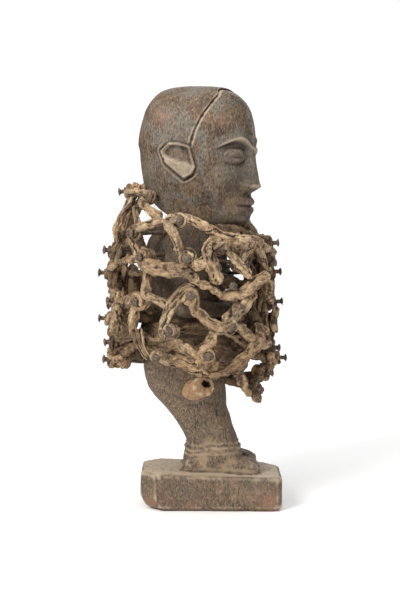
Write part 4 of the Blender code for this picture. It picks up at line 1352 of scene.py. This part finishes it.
def cordTree():
    # a creased, lumpy cord round each line
    sockets = [(name, "Float") for name in ("Step", "Creases", "Lumps", "Lump Size")]
    nodes, given = newTree("creasedCords", (*sockets, ("Sides", "Int"), ("Finish", "Material")))
    curve = nodes.add("GeometryNodeMeshToCurve", None, {"Mesh": given})
    sockets = {"Curve": curve, "Length": given.other("Step")}
    curve = nodes.add("GeometryNodeResampleCurve", {"mode": "LENGTH"}, sockets)
    length = nodes.add("GeometryNodeSplineParameter", out="Length") + nodes.named("start")
    captures = {"captures": (("FLOAT", "along"), ("FLOAT", "thickness"))}
    sockets = {0: curve, 1: length, 2: nodes.named("thick")}
    curve = nodes.add("GeometryNodeCaptureAttribute", captures, sockets)
    sockets = {"Resolution": given.other("Sides"), "Radius": 1.0}
    circle = nodes.add("GeometryNodeCurvePrimitiveCircle", None, sockets)
    factor = nodes.add("GeometryNodeSplineParameter", out="Factor")
    captures = {"captures": (("FLOAT", "side"),)}
    circle = nodes.add("GeometryNodeCaptureAttribute", captures, {0: circle, 1: factor})
    sockets = {"Curve": curve, "Profile Curve": circle, "Scale": nodes.named("thick"), "Fill Caps": True}
    tube = nodes.add("GeometryNodeCurveToMesh", None, sockets)
    along = Wire(curve.socket.node.outputs[1])
    thickness = Wire(curve.socket.node.outputs[2])
    angle = Wire(circle.socket.node.outputs[1]) * (2 * math.pi)
    drift = nodes.noise(nodes.combined(along, 3.1), 45, 2) * 14
    other = nodes.noise(nodes.combined(along, 8.7), 60, 2) * 12
    lobes = (angle * 3 + drift).sine() * 0.5 + (angle * 2 - other + along * 40).sine() * 0.5
    comes = nodes.noise(nodes.combined(along, 5.5), 60, 2).between(0.38, 0.56)
    goes = nodes.noise(nodes.combined(along, 1.7), 75, 2).between(0.42, 0.60)
    slits = (angle + drift * 0.5 + along * 30).cosine().between(0.955, 0.999) * comes
    slits = slits.least((angle * 3 - other * 0.8 + along * 22).cosine().between(0.93, 0.999) * goes)
    place = nodes.add("GeometryNodeInputPosition")
    scale = 1.0 / given.other("Lump Size")
    lumps = nodes.noise(place, scale, 3, 0.6) - 0.5
    grit = nodes.noise(place, scale * 3.3, 2, 0.6) - 0.5
    pits = (nodes.noise(place, scale * 2.1, 3, 0.7) - 0.60).between(0.0, 0.10)
    amount = lobes * 0.085 - slits * given.other("Creases") + lumps * given.other("Lumps")
    amount = amount + grit * 0.34 - pits * 0.16
    space = nodes.combined(angle.cosine() * thickness, angle.sine() * thickness, along)
    tube = nodes.stored(tube, "cordSpace", space, "FLOAT_VECTOR")
    tube = nodes.stored(tube, "slit", slits)
    tube = nodes.stored(tube, "raised", amount)
    return endTree(nodes, given, nodes.pushed(tube, amount * thickness))


cordNodes = cordTree()


def growCords(name, lines, kind, finish, layerShade=0.0, spread=1.0):
    # a piece of cords round lines; its kind gives step, sides, creases, lumps and the lumps' size
    values = dict(zip(("Step", "Sides", "Creases", "Lumps", "Lump Size"), kind), Finish=finish)
    return grow(name, linesObject(lines, layerShade, spread), cordNodes, values)


def nailRings(wanted):
    # a turn or two of cord that hugs each nail under its head
    lines = []
    for nail in wanted:
        radius = (4.3 if nail.name == "nail_08" else random.uniform(3.1, 4.0)) * unit
        side = nail.axis.orthogonal().normalized()
        other = nail.axis.cross(side)
        turns = random.uniform(1.6, 2.6)
        ring = nailSizes["shank"] / 2 * unit + radius * 0.95
        start = nail.ringDepth + radius * 0.85
        rows = []
        for t in np.linspace(0, 1, int(turns * 16)):
            angle = 2 * math.pi * turns * t
            reach = ring * (1 + 0.10 * math.sin(angle * 1.3))
            depth = start + radius * 1.5 * turns * t
            place = nail.head - nail.axis * depth
            place += (side * math.cos(angle) + other * math.sin(angle)) * reach
            rows.append((*place, radius * (0.5 + 0.5 * min(1, 6 * t, 6 * (1 - t)))))
        lines.append(np.array(rows))
    return lines


def hairLines(lines, count):
    # loose fibres that stand off the cords and droop
    found = []
    for _ in range(count):
        line = lines[random.integers(len(lines))]
        start = line[random.integers(len(line))] * (0.97, 0.97, 1, 1)
        out = np.array([start[0], start[1] - 0.02, 0])
        out /= np.linalg.norm(out) + 1e-9
        way = random.normal(0, 1, 3) - out * 0.35
        way /= np.linalg.norm(way)
        length = random.uniform(0.003, 0.010)
        bend = random.normal(0, 0.5, 3)
        rows = []
        for t in np.linspace(0, 1, 6):
            place = start[:3] + (way * t + bend * t * t * 0.5 + np.array([0, 0, -0.5]) * t * t) * length
            place += way * start[3] * 0.7
            rows.append((*place, cordSizes["fibreRadius"] * (1.1 - 0.7 * t)))
        found.append(np.array(rows))
    return found


def crumbTree():
    # small clods of the crust that sticks to the cords
    nodes, given = newTree("crumbs", (("Density", "Float"), ("Size", "Float"), ("Finish", "Material")))
    patches = nodes.noise(nodes.add("GeometryNodeInputPosition"), 48, 3).between(0.50, 0.64)
    sockets = {"Mesh": given, "Density": patches * given.other("Density"), "Seed": 4}
    spread = nodes.add("GeometryNodeDistributePointsOnFaces", None, sockets)
    size = nodes.add("FunctionNodeRandomValue", {"data_type": "FLOAT"}, {2: 0.35, 3: 1.0, 8: 5}, out=1)
    sockets = {0: (0, 0, 0), 1: (6, 6, 6), 8: 6}
    turn = nodes.add("FunctionNodeRandomValue", {"data_type": "FLOAT_VECTOR"}, sockets)
    clod = nodes.add("GeometryNodeMeshIcoSphere", None, {"Radius": 1.0, "Subdivisions": 1})
    clods = nodes.realized(nodes.instances(spread, clod, turn, size * size * given.other("Size")))
    place = nodes.add("GeometryNodeInputPosition")
    clods = nodes.stored(clods, "cordSpace", place, "FLOAT_VECTOR")
    return endTree(nodes, given, nodes.pushed(clods, (nodes.noise(place, 900, 2) - 0.5) * 0.0012))


def makeCords():
    made, hairy = [], []
    for name, sides, layerShade, tuck in cordSizes["layers"]:
        lines = []
        for stops, share, strands in cordSizes[name]:
            lines.extend(strandsOf(cordLine(stops, share, tuck), strands))
        hairy = hairy or lines
        kind = (cordSizes["step"], sides, *cordSizes["surface"])
        made.append(growCords(name, lines, kind, hide, layerShade, cordSizes["spread"]))
    ringed = [nail for nail in nails if nail.name != "nail_14"]
    made.append(growCords("nailRings", nailRings(ringed), cordSizes["ringKind"], hide))
    fibres = hairLines(hairy, cordSizes["fibres"])
    made.append(growCords("looseFibres", fibres, cordSizes["fibreKind"], hide))
    source = newObject("crumbSource", made[0].data.copy())
    values = {"Density": cordSizes["crumbs"], "Size": cordSizes["crumbSize"], "Finish": hide}
    made.append(grow("crumbs", source, crumbTree(), values))
    for piece in made[-2:]:
        # fibres and crumbs that would stand out past the solids' box are pressed back to it
        writePoints(piece.data, np.clip(readPoints(piece.data), *cadBox))
    return made


for piece in makeCords():
    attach(piece, "root")
    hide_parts("cord_net")
    print(piece.name, len(piece.data.polygons), "faces")


# strips and scraps of hide

# the middle line as bearing, height and reach, then the widths at the two ends, the thickness and the curl
stripSizes = {
    "around": 26,
    "levels": 46,
    "strips": (
        (((138, 290, 74), (126, 282, 82), (110, 269, 90)), (7, 11), 3.0, 1.0),
        (((124, 229, 92), (138, 226, 94), (150, 221, 94), (170, 214, 91)), (9, 4), 3.2, 1.5),
        (((38, 159, 94), (42, 151, 97), (46, 141, 98), (53, 130, 96)), (21, 8), 3.0, 2.0),
        (((63, 120, 93), (58, 109, 93), (53, 97, 91), (46, 85, 87)), (15, 6), 3.4, 1.5),
        (((73, 252, 88), (62, 248, 92), (50, 243, 92), (40, 239, 89)), (13, 15), 4.5, 1.5),
        (((88, 120, 90), (80, 120, 90), (72, 118, 89)), (14, 9), 4.0, 1.5),
        (((168, 130, 90), (158, 124, 91), (146, 120, 89)), (11, 7), 5.0, 2.0),
        (((34, 240, 88), (24, 236, 90), (14, 232, 90)), (9, 7), 4.0, 2.0),
        (((26, 204, 92), (30, 192, 93), (26, 180, 92)), (12, 8), 4.0, 2.5),
        (((16, 176, 93), (20, 160, 92), (14, 148, 92)), (10, 8), 4.0, 2.5),
        (((30, 128, 92), (22, 118, 92), (26, 106, 90)), (10, 6), 4.0, 2.0),
    ),
}


def stripGrid(stops, widths, thickness, curl, number):
    points = np.array([placeRoundTrunk(*stop) for stop in stops])
    line = smoothRows(points, stripSizes["levels"])
    share = np.linspace(0, 1, len(line))
    wide = (widths[0] + (widths[1] - widths[0]) * share) * unit
    wide *= 1 + 0.16 * np.sin(share * 9 + number) + 0.07 * np.sin(share * 31 + 2 * number)
    ends = np.sqrt(np.clip(np.minimum(share, 1 - share) * 14, 0.02, 1))
    along = unitRows(np.gradient(line, axis=0))
    out = line - np.array([0, nailSizes["trunkMiddle"] * unit, 0])
    out[:, 2] = 0
    out = unitRows(unitRows(out) + (-0.7, 0, 0))
    side = unitRows(np.cross(along, out))
    out = np.cross(side, along)
    angle = np.linspace(0, 2 * math.pi, stripSizes["around"], endpoint=False)
    across, through = boxy(np.cos(angle), 0.7), boxy(np.sin(angle), 0.7)
    lift = curl * unit * (across**2 - 0.4) + 0.5 * unit * np.sin(across * 7 + number)
    grid = line[:, None] + side[:, None] * (across * (wide * ends)[:, None] / 2)[..., None]
    deep = through * (thickness * unit / 2 * ends)[:, None] - lift * np.ones((len(line), 1))
    grid = grid + out[:, None] * deep[..., None]
    space = np.stack([across * wide[:, None] / 2, deep, share[:, None] * 0.05 + 0 * deep + number], axis=-1)
    return grid, space


def makeStrips():
    grids, spaces = [], []
    for number, strip in enumerate(stripSizes["strips"]):
        grid, space = stripGrid(*strip, number)
        grids.append(grid)
        spaces.extend([*space.reshape(-1, 3), space[0].mean(axis=0), space[-1].mean(axis=0)])
    strips = gridObject("hideStrips", grids, hide)
    data = strips.data
    points = readPoints(data)
    amounts = 0.9 * softNoise(points, 0.005, 81, 2) + 0.4 * softNoise(points, 0.0016, 83)
    pushOut(data, amounts)
    setValues(data, "cordSpace", spaces)
    setValues(data, "tone", np.clip(0.18 + 0.4 * softNoise(points, 0.03, 87), 0, 1))
    setValues(data, "raised", amounts * 0.25)
    return strips


hideStrips = makeStrips()
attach(hideStrips, "root")
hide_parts("cord_net")
print("hideStrips", len(hideStrips.data.polygons), "faces")


# the binding round the waist

bindingSizes = {
    "bottom": 98,
    "top": 164,
    "thickness": 6.0,
    "sag": 9,
    "around": 96,
    "levels": 26,
    "windings": 84,
    "cord": 2.0,
    # step, sides, creases, lumps and the lumps' size
    "kind": (0.0021, 10, 0.3, 1.0, 0.0035),
}


def sectionAt(height):
    rows = smoothRows(bodySizes["trunk"], 200)
    return [float(np.interp(height, rows[:, 0], rows[:, k])) for k in (1, 2, 3)]


def bindingPoint(angle, height, proud):
    # a point on the binding: angle 0 is the front, height runs from its bottom to its top
    bottom, top = bindingSizes["bottom"], bindingSizes["top"]
    height = min(max(height, bottom), top)
    end = max(0.0, math.sin(math.pi * (height - bottom) / (top - bottom))) ** 0.35
    middle, depth, width = sectionAt(height)
    x, y = math.sin(angle), -math.cos(angle)
    x = math.copysign(abs(x) ** (2 / 2.3), x)
    y = math.copysign(abs(y) ** (2 / 2.3), y)
    belly = max(0.0, -y) ** 2
    full = bindingSizes["thickness"] * (0.25 + 0.75 * end) + bindingSizes["sag"] * belly * end + proud
    lift = ((1 - belly) * 14 + 12 * max(0.0, y)) * (top - height) / (top - bottom)
    place = ((width + full) * x, middle + (depth + full) * y, height + lift)
    return Vector(place) * unit + Vector((0, 0, sole))


def makeBinding():
    mesh = bmesh.new()
    bottom, top, count = bindingSizes["bottom"], bindingSizes["top"], bindingSizes["around"]
    rings = []
    for height in np.linspace(bottom, top, bindingSizes["levels"]):
        rings.append([bindingPoint(2 * math.pi * k / count, height, -2.2) for k in range(count)])
    addLoft(mesh, rings)
    data = keepMesh(mesh, bpy.data.meshes.new("bindingCore"))
    core = newObject("bindingCore", data, fibre)
    points = readPoints(data)
    amounts = 0.9 * softNoise(points * (1, 1, 3), 0.007, 61, 2)
    pushOut(data, amounts)
    # the whole core is darkened like a crease: painted shade between the windings
    setValues(data, "slit", np.full(len(points), 0.45))
    lines = []
    for k in range(bindingSizes["windings"]):
        middle = bottom + (top - bottom) * (k + 0.5) / bindingSizes["windings"] + random.uniform(-1, 1)
        tilt, phase = random.uniform(0, 7), random.uniform(0, 2 * math.pi)
        span = random.uniform(0.15, 0.95) * math.pi
        radius = bindingSizes["cord"] * random.uniform(0.4, 1.45) * unit
        rows = []
        for t in np.linspace(0, 1, 12 + int(span * 22)):
            angle = phase + span * t
            height = middle + tilt * math.sin(2 * angle + phase) + 1.6 * math.sin(9 * angle + k)
            proud = -2.0 + 1.3 * math.sin(5 * angle + 2 * k)
            ends = min(1, 9 * t, 9 * (1 - t))
            swell = 1 + 0.3 * math.sin(17 * angle + 3 * k)
            rows.append((*bindingPoint(angle, height, proud), radius * (0.35 + 0.65 * ends) * swell))
        lines.append(np.array(rows))
    return core, growCords("bindingWindings", lines, bindingSizes["kind"], fibre)


for piece in makeBinding():
    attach(piece, "root")
    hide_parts("waist_binding")
    print(piece.name, len(piece.data.polygons), "faces")


# the pouch at the hip

pouchSizes = {
    "place": (86, 95.5, 81),
    "mouth": (-0.76, -0.56, 0.33),
    "half": (12.5, 10.0),
    "around": 84,
    "levels": 70,
    # reach along the bag, its share of the width, and how far the hole has moved up from its middle
    "rows": (
        (-19, 0.10, 0), (-18.2, 0.34, 0), (-15, 0.70, 0), (-9, 0.94, 0), (-2, 1.0, 0),
        (4, 1.0, 0), (8, 1.02, 0), (10.5, 1.06, 0), (11.4, 1.02, 0), (11.2, 0.86, 0.8),
        (10.9, 0.62, 2.2), (10.2, 0.40, 3.6), (6, 0.33, 4.0), (0, 0.28, 4.0), (-1, 0.1, 4.0),
    ),
}


def makePouch():
    middle = placeRoundTrunk(*pouchSizes["place"])
    along = Vector(pouchSizes["mouth"]).normalized()
    up = (Vector((0, 0, 1)) - along * along.z).normalized()
    across = along.cross(up)
    wide, high = pouchSizes["half"]
    rows = smoothRows(pouchSizes["rows"], pouchSizes["levels"])
    count = pouchSizes["around"]
    rings, wearAndHighlight, hollowShadeAndDirt = [], [], []
    for k, (reach, share, moved) in enumerate(rows):
        rim = math.exp(-(((reach - 11.2) / 1.2) ** 2)) * step(share, 0.70, 0.95)
        # the bag's inside, past its mouth, is marked for painted shade
        inner = step(0.44 - share, 0.0, 0.08) * (k > 35)
        ring = []
        for j in range(count):
            a = 2 * math.pi * j / count
            jag = rim * (0.045 * math.sin(15 * a) + 0.03 * math.sin(31 * a + 1))
            torn = 0.26 * math.sin(2 * a + 0.6) + 0.12 * math.sin(5 * a + 1) + 0.05 * math.sin(11 * a)
            folds = 0.03 * math.sin(2 * a + reach * 0.2) + 0.02 * math.sin(13 * a + reach * 0.5)
            fold = 1 + inner * torn + folds + jag
            place = middle + along * reach * unit + (up * 0.6 - across * 1.15) * moved * unit
            place += (across * math.cos(a) * wide + up * math.sin(a) * high) * share * fold * unit
            ring.append(place)
            wearAndHighlight.append(rim * (0.25 + 0.3 * math.sin(7 * a + 2)))
            hollowShadeAndDirt.append(inner)
        rings.append(ring)
    pouch = gridObject("hidePouch", [np.array(rings)], pouchHide)
    data = pouch.data
    points = readPoints(data)
    amounts = 0.6 * softNoise(points, 0.0055, 71, 2) + 0.2 * softNoise(points, 0.0016, 73)
    pushOut(data, amounts)
    setValues(data, "wearAndHighlight", np.clip(wearAndHighlight + [0.2, 0], 0, 1))
    setValues(data, "hollowShadeAndDirt", hollowShadeAndDirt + [0, 1])
    return pouch


hidePouch = makePouch()
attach(hidePouch, "root")
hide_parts("cord_net")
print("hidePouch", len(hidePouch.data.polygons), "faces")
